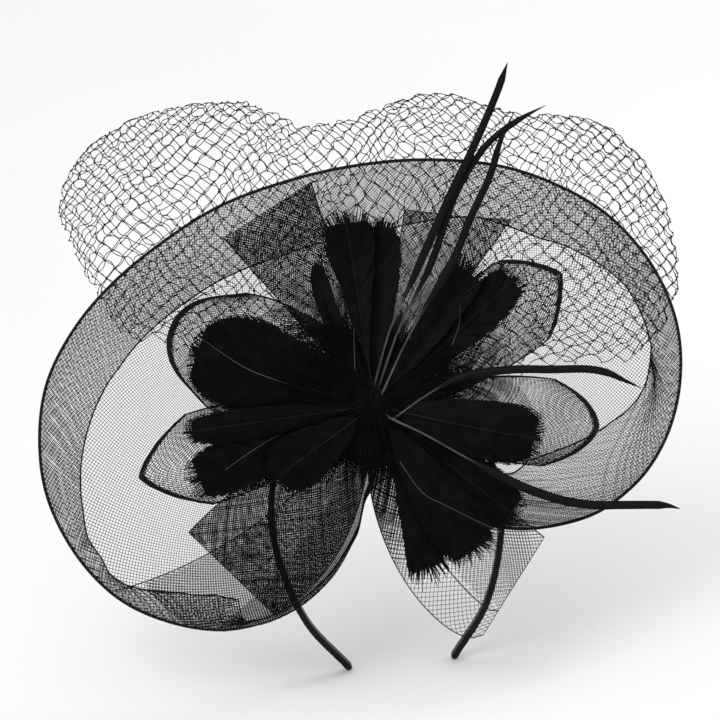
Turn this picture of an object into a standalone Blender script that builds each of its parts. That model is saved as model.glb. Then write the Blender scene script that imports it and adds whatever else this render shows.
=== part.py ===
"""Fascinator headpiece on a satin-wrapped headband, upright as worn.

The headband stands in the XZ plane with the inside of its crown at the origin. Everything sewn to
the felt base forms the hat, which swivels about the headband's crown. The hat has a frame of its
own: u to the wearer's left, v up the face of the brim, w out of the face, towards -Y.
Tables are in millimetres and MM turns them into metres.
"""

import math

import bmesh
import bpy
import numpy as np
from mathutils import Matrix, Vector

MM = 0.001
GAP = 0.3

# Headband: half of the inner outline from the crown to one end, (x, z), and its section.
BAND_HALF = [(4, 0), (30, -5.2), (53, -25), (61, -58), (58.5, -90), (48, -124), (29, -152)]
BAND_WIDTH = 6.4
BAND_THICKNESS = 3.8
CORE_WIDTH = 3.6
CORE_THICKNESS = 1.2
WRAP_WALL = 0.9
WRAP_CORNER = 1.2
BORE_CORNER = 0.5
CORE_CORNER = 0.3
BAND_STEPS = 20
TIP_LENGTH = 3.0
TIP_ROUNDING = [(0, 1), (0.45, 0.98), (0.75, 0.82), (0.93, 0.55), (1, 0.25)]

# Where the hat sits on the headband.
TILT = math.radians(22)
ROLL = math.radians(6)
AXIS_DROP = 6.8

# Felt base and the sleeves that hold the headband.
FELT_RADIUS = 33
FELT_FRONT = -0.7
FELT_THICKNESS = 2.0
FELT_EDGE = 0.5
SLEEVE_AT = 13
SLEEVE_WIDTH = 5
SLEEVE_BORE = 4.9
SLEEVE_WALL = 1.0
SLEEVE_FLANGE = 4.5

# Brim outline (u, v) anticlockwise, how far its rim curls back at each bearing, and how wide the
# hem that is turned back behind it is there, measured along the crin.
BRIM_OUTLINE = [
    (-4, -49), (-10, -70), (-22, -93), (-41, -111), (-62, -121), (-87, -125), (-115, -121),
    (-143, -108), (-166, -85), (-182, -54), (-187, -22), (-183, 11), (-168, 41), (-146, 67),
    (-118, 90), (-85, 110), (-46, 124), (-8, 132), (30, 135), (68, 132), (102, 121), (131, 104),
    (154, 78), (168, 47), (171, 16), (165, -13), (149, -39), (126, -58), (100, -66), (75, -68),
    (50, -62), (28, -50), (10, -39),
]
RIM_DROP = [
    (0, 44), (30, 38), (60, 24), (90, 16), (120, 22), (150, 36), (180, 42), (205, 42),
    (225, 34), (240, 18), (254, 8), (263, 0), (298, 0), (325, 7), (342, 24),
]
HEM_WIDTHS = [
    (2, 45), (5, 40), (12, 35), (25, 34), (45, 36), (90, 38), (140, 42), (166, 48), (176, 40),
    (190, 33), (196, 29), (203, 20), (216, 16), (219, 18), (224, 30), (229, 34), (237, 12),
    (262, 8), (290, 12), (315, 32), (330, 56), (340, 70), (346, 67), (353, 61), (358, 52),
]
DROP_POWER = 6
BRIM_HOLE = 4.4
BRIM_SHEET = 0.7
FOLD_RADIUS = 1.3
HEM_CLEARANCE = 2
HEM_LEAST = 1.5
HEM_SAMPLES = 121
WIRE_RADIUS = 0.6
BRIM_STEPS = 72
BRIM_SHARES = [0.3, 0.6, 0.75, 0.86, 0.94, 1.0]

# Veil: bearing and reach of its crest, and the puff beyond the flower.
VEIL_CREST = [
    (11, 144), (15, 160), (21, 175), (26, 181), (34, 190), (43, 196), (51, 195), (56, 188),
    (63, 175), (71, 172), (76, 173), (82, 169), (89, 160), (97, 153), (105, 155), (109, 166),
    (114, 179), (125, 195), (131, 203), (138, 208), (144, 207), (149, 199), (153, 182),
    (158, 161), (165, 140),
]
VEIL_LEVEL = 1.5
VEIL_SHEET = 0.8
VEIL_RINGS = [27, 60, 95, 115, 126]
VEIL_ROWS = 37
PUFF_START = 126
PUFF_SHARES = [0.15, 0.35, 0.6, 0.8, 0.93, 1]
PUFF_HEIGHT = 18
PUFF_FULL = 50

# Crin loops: bearing, reach, half width at the tip, sideways shift there, roundness of the tip.
LOOPS = {
    "crin_loop_upper_left": (157, 116, 23, 3, 0.28),
    "crin_loop_lower_left": (197.5, 129, 27, -2, 0.26),
    "crin_loop_upper_right": (33, 119, 28, 1, 0.16),
    "crin_loop_right": (-13, 118, 31, 1, 0.24),
}
LOOP_START = 8
LOOP_LOW = 4.8
LOOP_HIGH = 6.6
LOOP_MIDDLE = 9.6
LOOP_TURN = 5.0
LOOP_GATHER = 2.2
LOOP_SHEET = 0.7

# Crin tails: bearing, reach, half widths at the end to the right and left, slant of the cut, bulge.
TAILS = {
    "crin_tail_bottom_left": (229.7, 119.5, 32, 32, 2, 0),
    "crin_tail_bottom_right": (-52.5, 123, 29, 29, -10.8, 24),
    "crin_tail_top_left": (118.9, 120, 28, 28, -2, 0),
    "crin_tail_top_right": (65, 112, 24, 24, -9.6, 0),
}
TAIL_START = 7
TAIL_LEVEL = 3.1
TAIL_GATHER = 2.6
TAIL_SHEET = 0.7

# Feathers: bearing, length, width, level above the brim (0 to 2), sideways bend.
FEATHERS = {
    "feather_top_left": (99, 102, 31, 2, 0),
    "feather_top": (86, 99, 27, 1, 0),
    "feather_top_curved": (122, 82, 17, 0, -13),
    "feather_upper_left": (162, 104, 49, 0, 3),
    "feather_left": (188, 102, 16, 1, 0),
    "feather_lower_left": (203, 106, 29, 0, 0),
    "feather_low_left": (216, 66, 30, 2, 0),
    "feather_bottom": (-69, 95, 23, 0, -5),
    "feather_bottom_right": (-55.5, 96, 29, 1, 1),
    "feather_lower_right": (-39.5, 96, 32, 0, 1),
    "feather_right": (-14, 90, 33, 1, 4),
    "feather_upper_right": (41, 103, 25, 0, 3),
    "feather_top_right": (53, 90, 22, 1, 4),
}
FEATHER_START = 6.4
FEATHER_LEVEL = 9.8
FEATHER_STEP = 2.5
FEATHER_RISE = 0.095
RISE_STEP = 0.03
FEATHER_SHEET = 0.6
CAMBER = 0.7
STEM_HALF = 0.8
STEM_SHARE = 0.14
VANE_GROWTH = 0.55

# Spikes: level at the hub, then the route of the blade (u, v) from the hub to its tip.
SPIKES = {
    "spike_tall": (
        19.6,
        [(-1.6, 6.6), (7.9, 40.3), (17.4, 61.5), (39.6, 111.3), (51.7, 136.5), (63.1, 162.7),
         (69.8, 181.3)],
    ),
    "spike_bent": (
        17.6,
        [(0.8, 6.7), (13.2, 42), (29.1, 74.2), (42.3, 111.3), (54.4, 132.3), (64.4, 143.3),
         (78, 152.6), (90.3, 159)],
    ),
    "spike_fork": (
        22.2,
        [(3.4, 5.8), (18.5, 38.1), (40.7, 76.3), (50.2, 99), (60.6, 121.7), (65.8, 139.1),
         (73.3, 155.4)],
    ),
    "spike_right": (
        18.6,
        [(6.2, -2.6), (9.5, -6.7), (26, 4.6), (45.7, 15.2), (71.5, 19.1), (93.7, 19.3), (112, 19.5),
         (123, 17.6), (130.5, 14.2), (141.3, 9.3)],
    ),
    "spike_lower_right": (
        20.6,
        [(5.2, -4.4), (9, -7.2), (25.5, -14.9), (47.8, -27.3), (71.6, -40), (86.4, -46.1),
         (101, -50.5), (116, -52.5), (131, -52.4), (152, -52.4), (161, -54.2)],
    ),
}
SPIKE_HALF_WIDTH = 2.2
SPIKE_HALF_DEPTH = 0.5
SPIKE_RISE = 0.12
QUILL_HALF_WIDTH = 0.7
QUILL_LENGTH = 30
SPIKE_STEPS = 24
SPIKE_TAPER = 20
SPIKE_TIP = 0.12

# Hub: (radius, level) of its turned outline, from its foot on the felt to its crown.
HUB_PROFILE = [(3.9, -0.4), (3.9, 2.0), (5.4, 3.2), (5.4, 22.5), (4.4, 24.4), (2.4, 25.4)]

# Hair clip, in its own frame: x along it, y across it, z away from the felt.
CLIP_AT = 17.5
CLIP_NOSE = -23
CLIP_TAIL = 19
CLIP_PIN_X = 8
CLIP_PIN_Z = 4.6
CLIP_WIDTH = 8.0
CLIP_SHEET = 0.8
PIN_RADIUS = 0.8
EAR_RADIUS = 2.2
UPPER_EAR_Y = 2.55
LEVER_RISE = 4.2
SPRING_RADIUS = 1.55
SPRING_WIRE = 0.3
SPRING_TURNS = 3
SPRING_PITCH = 0.75
SPRING_ARMS = [(-5, 0, -0.9), (-4, 0, -0.5)]


def clear_scene():
    for old in list(bpy.data.objects):
        bpy.data.objects.remove(old, do_unlink=True)


def material(name, colour, roughness, metallic=0.0):
    made = bpy.data.materials.new(name)
    made.use_nodes = True
    shader = made.node_tree.nodes["Principled BSDF"]
    shader.inputs["Base Color"].default_value = (*colour, 1.0)
    shader.inputs["Roughness"].default_value = roughness
    shader.inputs["Metallic"].default_value = metallic
    return made


def add_object(name, mesh, finish, parent=None, sharp=40):
    obj = bpy.data.objects.new(name, mesh)
    bpy.context.collection.objects.link(obj)
    obj.data.materials.append(material(name, *finish))
    mesh.shade_smooth()
    mesh.set_sharp_from_angle(angle=math.radians(sharp))
    obj.parent = parent
    return obj


def mesh_from(name, points, faces):
    """A mesh from points in millimetres, with its faces turned outwards."""
    mesh = bpy.data.meshes.new(name)
    mesh.from_pydata([tuple(float(c) * MM for c in point) for point in points], [], faces)
    form = bmesh.new()
    form.from_mesh(mesh)
    bmesh.ops.recalc_face_normals(form, faces=form.faces)
    form.to_mesh(mesh)
    form.free()
    return mesh


def catmull_rom(points, steps, closed=False):
    """Points along a smooth curve through the given ones, `steps` to each span."""
    known = [np.array(p, float) for p in points]
    count = len(known)
    spans = count if closed else count - 1
    out = []
    for i in range(spans):
        if closed:
            a, b, c, d = (known[(i + k) % count] for k in (-1, 0, 1, 2))
        else:
            b, c = known[i], known[i + 1]
            a = known[i - 1] if i else 2 * b - c
            d = known[i + 2] if i + 2 < count else 2 * c - b
        for k in range(steps):
            t = k / steps
            out.append(
                0.5 * (2 * b + (c - a) * t + (2 * a - 5 * b + 4 * c - d) * t**2
                       + (3 * b - a - 3 * c + d) * t**3)
            )
    if not closed:
        out.append(known[-1])
    return np.array(out)


def resample(points, count, closed=False):
    """The curve through the points, cut into equal lengths."""
    line = np.vstack([points, points[:1]]) if closed else np.array(points)
    run = np.concatenate([[0], np.cumsum(np.linalg.norm(np.diff(line, axis=0), axis=1))])
    marks = np.linspace(0, run[-1], count + 1 if closed else count)
    even = np.stack([np.interp(marks, run, line[:, k]) for k in range(line.shape[1])], axis=1)
    return even[:-1] if closed else even


def by_bearing(table, bearing):
    """A value read from a (bearing, value) table that goes right round, eased between entries."""
    bearing %= 360
    ring = [(table[-1][0] - 360, table[-1][1]), *table, (table[0][0] + 360, table[0][1])]
    for (b0, v0), (b1, v1) in zip(ring, ring[1:]):
        if b0 <= bearing <= b1:
            t = (bearing - b0) / (b1 - b0)
            return v0 + (v1 - v0) * (3 - 2 * t) * t * t
    return ring[-1][1]


def polar(bearing, along, across):
    """A point `along` a bearing from the hub and `across` to its left."""
    a = math.radians(bearing)
    return (
        math.cos(a) * along - math.sin(a) * across,
        math.sin(a) * along + math.cos(a) * across,
    )


def grid_normals(grid, ring):
    if ring:
        along = np.roll(grid, -1, axis=0) - np.roll(grid, 1, axis=0)
    else:
        along = np.gradient(grid, axis=0)
    normals = np.cross(along, np.gradient(grid, axis=1))
    return normals / np.linalg.norm(normals, axis=2, keepdims=True)


def solid_sheet(name, grid, thickness, ring=False):
    """A closed sheet of the given thickness about a grid of points; a ring closes on itself."""
    grid = np.array(grid, float)
    rows, cols = grid.shape[:2]
    offset = grid_normals(grid, ring) * np.reshape(thickness, (-1, 1, 1) if np.ndim(thickness) == 1
                                                   else (*np.shape(thickness), 1)) / 2
    points = np.concatenate([(grid + offset).reshape(-1, 3), (grid - offset).reshape(-1, 3)])
    under = rows * cols

    def at(i, j):
        return (i % rows) * cols + j

    faces = []
    for i in range(rows if ring else rows - 1):
        for j in range(cols - 1):
            quad = [at(i, j), at(i + 1, j), at(i + 1, j + 1), at(i, j + 1)]
            faces += [quad, [under + k for k in reversed(quad)]]
        for j in (0, cols - 1):
            a, b = at(i, j), at(i + 1, j)
            faces.append([a, b, under + b, under + a])
    if not ring:
        for i in (0, rows - 1):
            for j in range(cols - 1):
                a, b = at(i, j), at(i, j + 1)
                faces.append([a, b, under + b, under + a])
    return mesh_from(name, points, faces)


def sweep(name, path, sections, ring=False):
    """A closed tube: one section of points, already in place, for each point of the path."""
    points = np.concatenate(sections)
    sides = len(sections[0])
    count = len(path)
    faces = []
    for i in range(count if ring else count - 1):
        for k in range(sides):
            a, b = i * sides + k, i * sides + (k + 1) % sides
            c, d = (b + sides) % len(points), (a + sides) % len(points)
            faces.append([a, b, c, d])
    if not ring:
        faces.append(list(range(sides)))
        faces.append(list(range(len(points) - sides, len(points))))
    return mesh_from(name, points, faces)


def box(low, high):
    """Points and faces of a box between two corners."""
    x, y, z = zip(low, high)
    points = [(x[i], y[j], z[k]) for i in (0, 1) for j in (0, 1) for k in (0, 1)]
    faces = [(0, 1, 3, 2), (4, 6, 7, 5), (0, 4, 5, 1), (2, 3, 7, 6), (0, 2, 6, 4), (1, 5, 7, 3)]
    return points, faces


def helper(name, mesh, parent):
    """An operand for a Boolean, never part of the object itself."""
    obj = bpy.data.objects.new(name, mesh)
    bpy.context.collection.objects.link(obj)
    obj.parent = parent
    obj.hide_render = True
    obj.display_type = "WIRE"
    return obj


def combine(obj, other, operation):
    step = obj.modifiers.new(other.name, "BOOLEAN")
    step.operation = operation
    step.solver = "EXACT"
    step.object = other


def round_bar(name, radius, start, end, sides=20):
    """A cylinder along y between two points of its axis."""
    path = [np.array(start, float), np.array(end, float)]
    turns = np.linspace(0, 2 * math.pi, sides, endpoint=False)
    rim = np.stack([np.cos(turns) * radius, 0 * turns, np.sin(turns) * radius], axis=1)
    return sweep(name, path, [p + rim for p in path])


# ---------------------------------------------------------------- headband


def band_line(count):
    """Evenly spaced (x, z) of the band's inner outline, left end to right end, flat at the crown."""
    half = resample(catmull_rom(BAND_HALF, 8), count)
    return np.vstack([half[::-1] * (-1, 1), half])


def band_frames(line):
    """Points in the XZ plane and the outward normal at each of them."""
    points = np.stack([line[:, 0], 0 * line[:, 0], line[:, 1]], axis=1)
    run = np.gradient(points, axis=0)
    run /= np.linalg.norm(run, axis=1, keepdims=True)
    normals = np.stack([-run[:, 2], run[:, 1], run[:, 0]], axis=1)
    return points, normals


def band_section(half_width, low, high, corner):
    """(across, out) of a rounded rectangle that is flat on its inner and outer sides."""
    return [
        (half_width - corner, low), (half_width, low + corner), (half_width, high - corner),
        (half_width - corner, high), (-half_width + corner, high), (-half_width, high - corner),
        (-half_width, low + corner), (-half_width + corner, low),
    ]


def band_rings(points, normals, section):
    across = np.array([0.0, 1.0, 0.0])
    return [
        np.array([p + across * a + n * out for a, out in section])
        for p, n in zip(points, normals)
    ]


def headband(satin, steel):
    points, normals = band_frames(band_line(BAND_STEPS))
    middle = BAND_THICKNESS / 2
    outer = band_rings(points, normals, band_section(BAND_WIDTH / 2, 0, BAND_THICKNESS, WRAP_CORNER))
    bore_half = BAND_WIDTH / 2 - WRAP_WALL
    bore = band_section(bore_half, WRAP_WALL, BAND_THICKNESS - WRAP_WALL, BORE_CORNER)
    inner = band_rings(points, normals, bore)
    sides = len(outer[0])
    count = len(points)
    verts = np.concatenate(outer + inner)
    under = count * sides
    faces = []
    for i in range(count - 1):
        for k in range(sides):
            a, b = i * sides + k, i * sides + (k + 1) % sides
            quad = [a, b, b + sides, a + sides]
            faces += [quad, [under + v for v in reversed(quad)]]
    for start in (0, (count - 1) * sides):
        for k in range(sides):
            a, b = start + k, start + (k + 1) % sides
            faces.append([a, b, under + b, under + a])
    add_object("headband_wrap", mesh_from("headband_wrap", verts, faces), satin)

    low = middle - CORE_THICKNESS / 2
    section = band_section(CORE_WIDTH / 2, low, middle + CORE_THICKNESS / 2, CORE_CORNER)
    rings = band_rings(points, normals, section)
    add_object("headband_core", sweep("headband_core", points, rings), steel)
    for name, index, before in (("headband_tip_left", 0, 1), ("headband_tip_right", -1, -2)):
        band_tip(name, points[index], points[before], normals[index], satin)


def band_tip(name, end, before, normal, satin):
    """A rounded cap just past an end of the band, as wide and thick as the band is."""
    along = (end - before) / np.linalg.norm(end - before)
    centre = end + normal * BAND_THICKNESS / 2
    rings = []
    for depth, size in TIP_ROUNDING:
        middle = centre + along * (GAP + depth * TIP_LENGTH)
        half, deep = BAND_WIDTH / 2 * size, BAND_THICKNESS / 2 * size
        section = band_section(half, -deep, deep, WRAP_CORNER * size)
        rings.append(
            np.array([middle + np.array([0, 1, 0]) * a + normal * out for a, out in section])
        )
    add_object(name, sweep(name, rings, rings), satin)


# ---------------------------------------------------------------- felt base and sleeves


def felt_base(disc, felt):
    low = FELT_FRONT - FELT_THICKNESS
    turns = np.linspace(0, 2 * math.pi, 64, endpoint=False)
    rings = [
        np.stack([np.cos(turns) * r, np.sin(turns) * r, 0 * turns + w], axis=1)
        for r, w in (
            (FELT_RADIUS - FELT_EDGE, low), (FELT_RADIUS, low + FELT_EDGE),
            (FELT_RADIUS, FELT_FRONT - FELT_EDGE), (FELT_RADIUS - FELT_EDGE, FELT_FRONT),
        )
    ]
    add_object("felt_base", sweep("felt_base", rings, rings), felt, disc)


def sleeve_outline():
    """(across, out) of a strap arched over the band, its flanges flat against the felt."""
    base = GAP
    arch = AXIS_DROP + FELT_FRONT - FELT_THICKNESS
    turns = np.linspace(0, math.pi, 13)
    outer = SLEEVE_BORE + SLEEVE_WALL
    line = [(outer + SLEEVE_FLANGE, base), (outer + SLEEVE_FLANGE, base + SLEEVE_WALL),
            (outer, base + SLEEVE_WALL)]
    line += [(outer * math.cos(t), arch + outer * math.sin(t)) for t in turns]
    line += [(-outer, base + SLEEVE_WALL), (-outer - SLEEVE_FLANGE, base + SLEEVE_WALL),
             (-outer - SLEEVE_FLANGE, base), (-SLEEVE_BORE, base)]
    line += [(-SLEEVE_BORE * math.cos(t), arch + SLEEVE_BORE * math.sin(t)) for t in turns]
    return line + [(SLEEVE_BORE, base)]


def sleeves(back, ribbon):
    outline = sleeve_outline()
    for name, side in (("band_sleeve_left", -1), ("band_sleeve_right", 1)):
        ends = [side * SLEEVE_AT - SLEEVE_WIDTH / 2, side * SLEEVE_AT + SLEEVE_WIDTH / 2]
        rings = [np.array([(x, y, z) for y, z in outline]) for x in ends]
        add_object(name, sweep(name, rings, rings), ribbon, back)


# ---------------------------------------------------------------- brim


def brim_front():
    """Grid of the brim's front layer: one row for each rim point, from the hole to the rim."""
    rim = resample(catmull_rom(BRIM_OUTLINE, 10, closed=True), BRIM_STEPS, closed=True)
    rows = []
    for u, v in rim:
        reach, angle = math.hypot(u, v), math.atan2(v, u)
        drop = by_bearing(RIM_DROP, math.degrees(angle))
        radii = [BRIM_HOLE] + [max(reach * s, BRIM_HOLE + 2 * s) for s in BRIM_SHARES]
        rows.append([
            (r * math.cos(angle), r * math.sin(angle), -drop * (r / reach) ** DROP_POWER)
            for r in radii
        ])
    return np.array(rows)


def hem_points(row, normals):
    """The turned-back layer behind one row of the front, from the rim inwards."""
    dense = resample(row, HEM_SAMPLES)
    places, known = np.linspace(0, 1, HEM_SAMPLES), np.linspace(0, 1, len(normals))
    dense_normals = np.stack([np.interp(places, known, normals[:, k]) for k in range(3)], axis=1)
    u, v = row[-1][:2]
    room = math.hypot(u, v) - FELT_RADIUS - HEM_CLEARANCE
    width = min(by_bearing(HEM_WIDTHS, math.degrees(math.atan2(v, u))), max(room, HEM_LEAST))
    from_rim = np.cumsum(np.linalg.norm(np.diff(dense[::-1], axis=0), axis=1))
    out = []
    for share in (0.0, 0.4, 1.0):
        index = HEM_SAMPLES - 1 - int(np.searchsorted(from_rim, width * share))
        normal = dense_normals[index] / np.linalg.norm(dense_normals[index])
        out.append(dense[index] - normal * 2 * FOLD_RADIUS)
    return out


def brim(disc, crin, wire):
    front = brim_front()
    normals = grid_normals(front, ring=True)
    normals *= np.sign(normals[:, :, 2:3])
    rim = front[:, -1]
    along = np.roll(rim, -1, axis=0) - np.roll(rim, 1, axis=0)
    along /= np.linalg.norm(along, axis=1, keepdims=True)
    facing = normals[:, -1]
    outward = np.cross(along, facing)
    outward *= np.sign(np.sum(outward * rim, axis=1))[:, None]
    outward /= np.linalg.norm(outward, axis=1, keepdims=True)
    centre = rim - facing * FOLD_RADIUS
    rows = []
    for i, row in enumerate(front):
        fold = [
            centre[i] + FOLD_RADIUS * (math.cos(t) * facing[i] + math.sin(t) * outward[i])
            for t in np.radians((45, 90, 135))
        ]
        rows.append(list(row) + fold + hem_points(row, normals[i]))
    sheet = solid_sheet("brim", rows, np.full((len(rows), len(rows[0])), BRIM_SHEET), ring=True)
    add_object("brim", sheet, crin, disc)
    turns = np.linspace(0, 2 * math.pi, 6, endpoint=False)
    rings = [
        np.array([c + WIRE_RADIUS * (math.cos(t) * f + math.sin(t) * o) for t in turns])
        for c, f, o in zip(centre, facing, outward)
    ]
    add_object("brim_wire", sweep("brim_wire", centre, rings, ring=True), wire, disc)


# ---------------------------------------------------------------- veil


def veil(disc, net):
    rows, thickness = [], []
    first, last = VEIL_CREST[0][0], VEIL_CREST[-1][0]
    bearings = [b for b, _ in VEIL_CREST]
    reaches = [r for _, r in VEIL_CREST]
    for bearing in np.linspace(first, last, VEIL_ROWS):
        reach = float(np.interp(bearing, bearings, reaches))
        swell = PUFF_HEIGHT * min(1.0, max(0.15, (reach - PUFF_START) / PUFF_FULL))
        radii = VEIL_RINGS + [PUFF_START + (reach - PUFF_START) * s for s in PUFF_SHARES]
        row, depth = [], []
        for r in radii:
            share = max(0.0, (r - PUFF_START) / (reach - PUFF_START))
            depth.append(VEIL_SHEET + swell * max(0.0, math.sin(math.pi * share)) ** 0.8)
            row.append((*polar(bearing, r, 0), VEIL_LEVEL))
        rows.append(row)
        thickness.append(depth)
    add_object("veil", solid_sheet("veil", rows, np.array(thickness)), net, disc)


# ---------------------------------------------------------------- crin loops and tails


def loop_row(side, reach, half, shift, roundness):
    """(along, across, level) points of one lengthwise thread of a loop, out and back."""
    tip = reach * (1 - roundness * side * side) - LOOP_TURN
    steps = np.linspace(0, 1, 6)
    low = [(LOOP_START + (tip - LOOP_START) * s,
            LOOP_LOW + (LOOP_MIDDLE - LOOP_TURN - LOOP_LOW) * s * s) for s in steps]
    high = [(a, LOOP_HIGH + (LOOP_MIDDLE + LOOP_TURN - LOOP_HIGH) * s)
            for (a, _), s in zip(low, steps)]
    turn = [(tip + LOOP_TURN * math.sin(t), LOOP_MIDDLE - LOOP_TURN * math.cos(t))
            for t in np.radians((30, 60, 90, 120, 150))]
    out = []
    for a, level in low + turn + high[::-1]:
        share = min(1.0, (a - LOOP_START) / (reach - LOOP_START))
        across = side * (LOOP_GATHER + (half - LOOP_GATHER) * share) + shift * share
        out.append((a, across, level))
    return out


def crin_loops(disc, crin):
    for name, (bearing, reach, half, shift, roundness) in LOOPS.items():
        rows = [
            [(*polar(bearing, a, c), w) for a, c, w in loop_row(side, reach, half, shift, roundness)]
            for side in np.linspace(-1, 1, 5)
        ]
        sheet = solid_sheet(name, rows, np.full((len(rows), len(rows[0])), LOOP_SHEET))
        add_object(name, sheet, crin, disc)


def crin_tails(disc, crin):
    for name, values in TAILS.items():
        bearing, reach, right, left, slant, bulge = values
        rows = []
        for side in np.linspace(-1, 1, 5):
            half = left if side > 0 else right
            row = []
            for s in np.linspace(0, 1, 9):
                end = reach + slant * side
                a = TAIL_START + (end - TAIL_START) * s
                across = side * (TAIL_GATHER + (half - TAIL_GATHER) * s)
                across += -bulge * max(0.0, -side) * math.sin(math.pi * s) ** 0.8
                row.append((*polar(bearing, a, across), TAIL_LEVEL))
            rows.append(row)
        sheet = solid_sheet(name, rows, np.full((len(rows), len(rows[0])), TAIL_SHEET))
        add_object(name, sheet, crin, disc)


# ---------------------------------------------------------------- feathers, spikes, hub


def feather_half(s, width):
    """Half the width of a feather at a share s of its length: a stem, then a vane rounded off."""
    if s < STEM_SHARE:
        return STEM_HALF
    x = (s - STEM_SHARE) / (1 - STEM_SHARE)
    return max(STEM_HALF, width / 2 * x**VANE_GROWTH * (1 - 0.93 * x**5) ** 0.7 * 1.06)


def feathers(disc, barbs):
    for name, (bearing, length, width, level, bend) in FEATHERS.items():
        base = FEATHER_LEVEL + FEATHER_STEP * level
        rise = FEATHER_RISE + RISE_STEP * level
        rows = []
        for side in (-1, 0, 1):
            row = []
            for s in np.linspace(0, 1, 11):
                a = FEATHER_START + (length - FEATHER_START) * s
                half = feather_half(s, width)
                lift = base + rise * a - CAMBER * side * side * half / (width / 2)
                row.append((*polar(bearing, a, side * half + bend * s * s), lift))
            rows.append(row)
        sheet = solid_sheet(name, rows, np.full((len(rows), len(rows[0])), FEATHER_SHEET))
        add_object(name, sheet, barbs, disc)


def spikes(disc, blade):
    for name, (level, route) in SPIKES.items():
        line = resample(catmull_rom(route, 6), SPIKE_STEPS)
        run = np.gradient(line, axis=0)
        run /= np.linalg.norm(run, axis=1, keepdims=True)
        travelled = np.linspace(0, 1, len(line)) * np.linalg.norm(np.diff(line, axis=0), axis=1).sum()
        rings = []
        for i, (u, v) in enumerate(line):
            grow = min(1.0, travelled[i] / QUILL_LENGTH)
            left = travelled[-1] - travelled[i]
            taper = min(1.0, SPIKE_TIP + left / SPIKE_TAPER)
            wide = (QUILL_HALF_WIDTH + (SPIKE_HALF_WIDTH - QUILL_HALF_WIDTH) * grow**2) * taper
            side = np.array([-run[i][1], run[i][0], 0])
            middle = np.array([u, v, level + SPIKE_RISE * math.hypot(u, v)])
            up = np.array([0, 0, SPIKE_HALF_DEPTH * max(taper, 0.5)])
            rings.append(np.array([
                middle + side * wide, middle + side * wide * 0.4 + up,
                middle - side * wide * 0.4 + up, middle - side * wide,
                middle - side * wide * 0.4 - up, middle + side * wide * 0.4 - up,
            ]))
        add_object(name, sweep(name, rings, rings), blade, disc)


def hub(disc, thread):
    turns = np.linspace(0, 2 * math.pi, 28, endpoint=False)
    rings = [
        np.stack([np.cos(turns) * r, np.sin(turns) * r, 0 * turns + w], axis=1)
        for r, w in HUB_PROFILE
    ]
    add_object("flower_hub", sweep("flower_hub", rings, rings), thread, disc)


# ---------------------------------------------------------------- hair clip


def lower_jaw(frame, steel):
    plate = box((CLIP_NOSE, -CLIP_WIDTH / 2, GAP), (CLIP_TAIL, CLIP_WIDTH / 2, GAP + CLIP_SHEET))
    jaw = add_object("clip_lower_jaw", mesh_from("clip_lower_jaw", *plate), steel, frame)
    for side in (-1, 1):
        outer = side * CLIP_WIDTH / 2
        low, high = sorted((outer, outer - side * CLIP_SHEET))
        ear = box(
            (CLIP_PIN_X - EAR_RADIUS, low, GAP + CLIP_SHEET / 2),
            (CLIP_PIN_X + EAR_RADIUS, high, CLIP_PIN_Z + EAR_RADIUS),
        )
        combine(jaw, helper(f"lower_ear_{side}", mesh_from("lower_ear", *ear), frame), "UNION")
    cut_pin_hole(jaw, frame, "lower_pin_hole")
    return jaw


def cut_pin_hole(jaw, frame, name):
    start, end = (CLIP_PIN_X, -CLIP_WIDTH, CLIP_PIN_Z), (CLIP_PIN_X, CLIP_WIDTH, CLIP_PIN_Z)
    bar = round_bar(name, PIN_RADIUS + GAP, start, end)
    combine(jaw, helper(name, bar, frame), "DIFFERENCE")


def upper_jaw(frame, pin_frame, steel):
    """The jaw that opens: its nose on the lower jaw, a bend over the pin, then the lever."""
    crown = CLIP_PIN_Z + EAR_RADIUS
    low = GAP * 2 + CLIP_SHEET
    line = [
        (CLIP_NOSE, low), (CLIP_NOSE + 2, low), (CLIP_PIN_X - EAR_RADIUS, crown),
        (CLIP_PIN_X + EAR_RADIUS, crown), (CLIP_TAIL - 3, crown + LEVER_RISE - 1.2),
        (CLIP_TAIL + 2, crown + LEVER_RISE),
    ]
    outline = line + [(x, z + CLIP_SHEET) for x, z in reversed(line)]
    half = UPPER_EAR_Y + CLIP_SHEET / 2
    rings = [
        np.array([(x - CLIP_PIN_X, y, z - CLIP_PIN_Z) for x, z in outline]) for y in (-half, half)
    ]
    mesh = sweep("clip_upper_jaw", rings, rings)
    jaw = add_object("clip_upper_jaw", mesh, steel, pin_frame)
    for side in (-1, 1):
        low_y, high_y = side * UPPER_EAR_Y - CLIP_SHEET / 2, side * UPPER_EAR_Y + CLIP_SHEET / 2
        ear = box(
            (-EAR_RADIUS * 0.8, low_y, -EAR_RADIUS * 0.8), (EAR_RADIUS * 0.8, high_y, EAR_RADIUS + 0.4)
        )
        combine(jaw, helper(f"upper_ear_{side}", mesh_from("upper_ear", *ear), pin_frame), "UNION")
    cut_pin_hole(jaw, frame, "upper_pin_hole")
    return jaw


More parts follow.
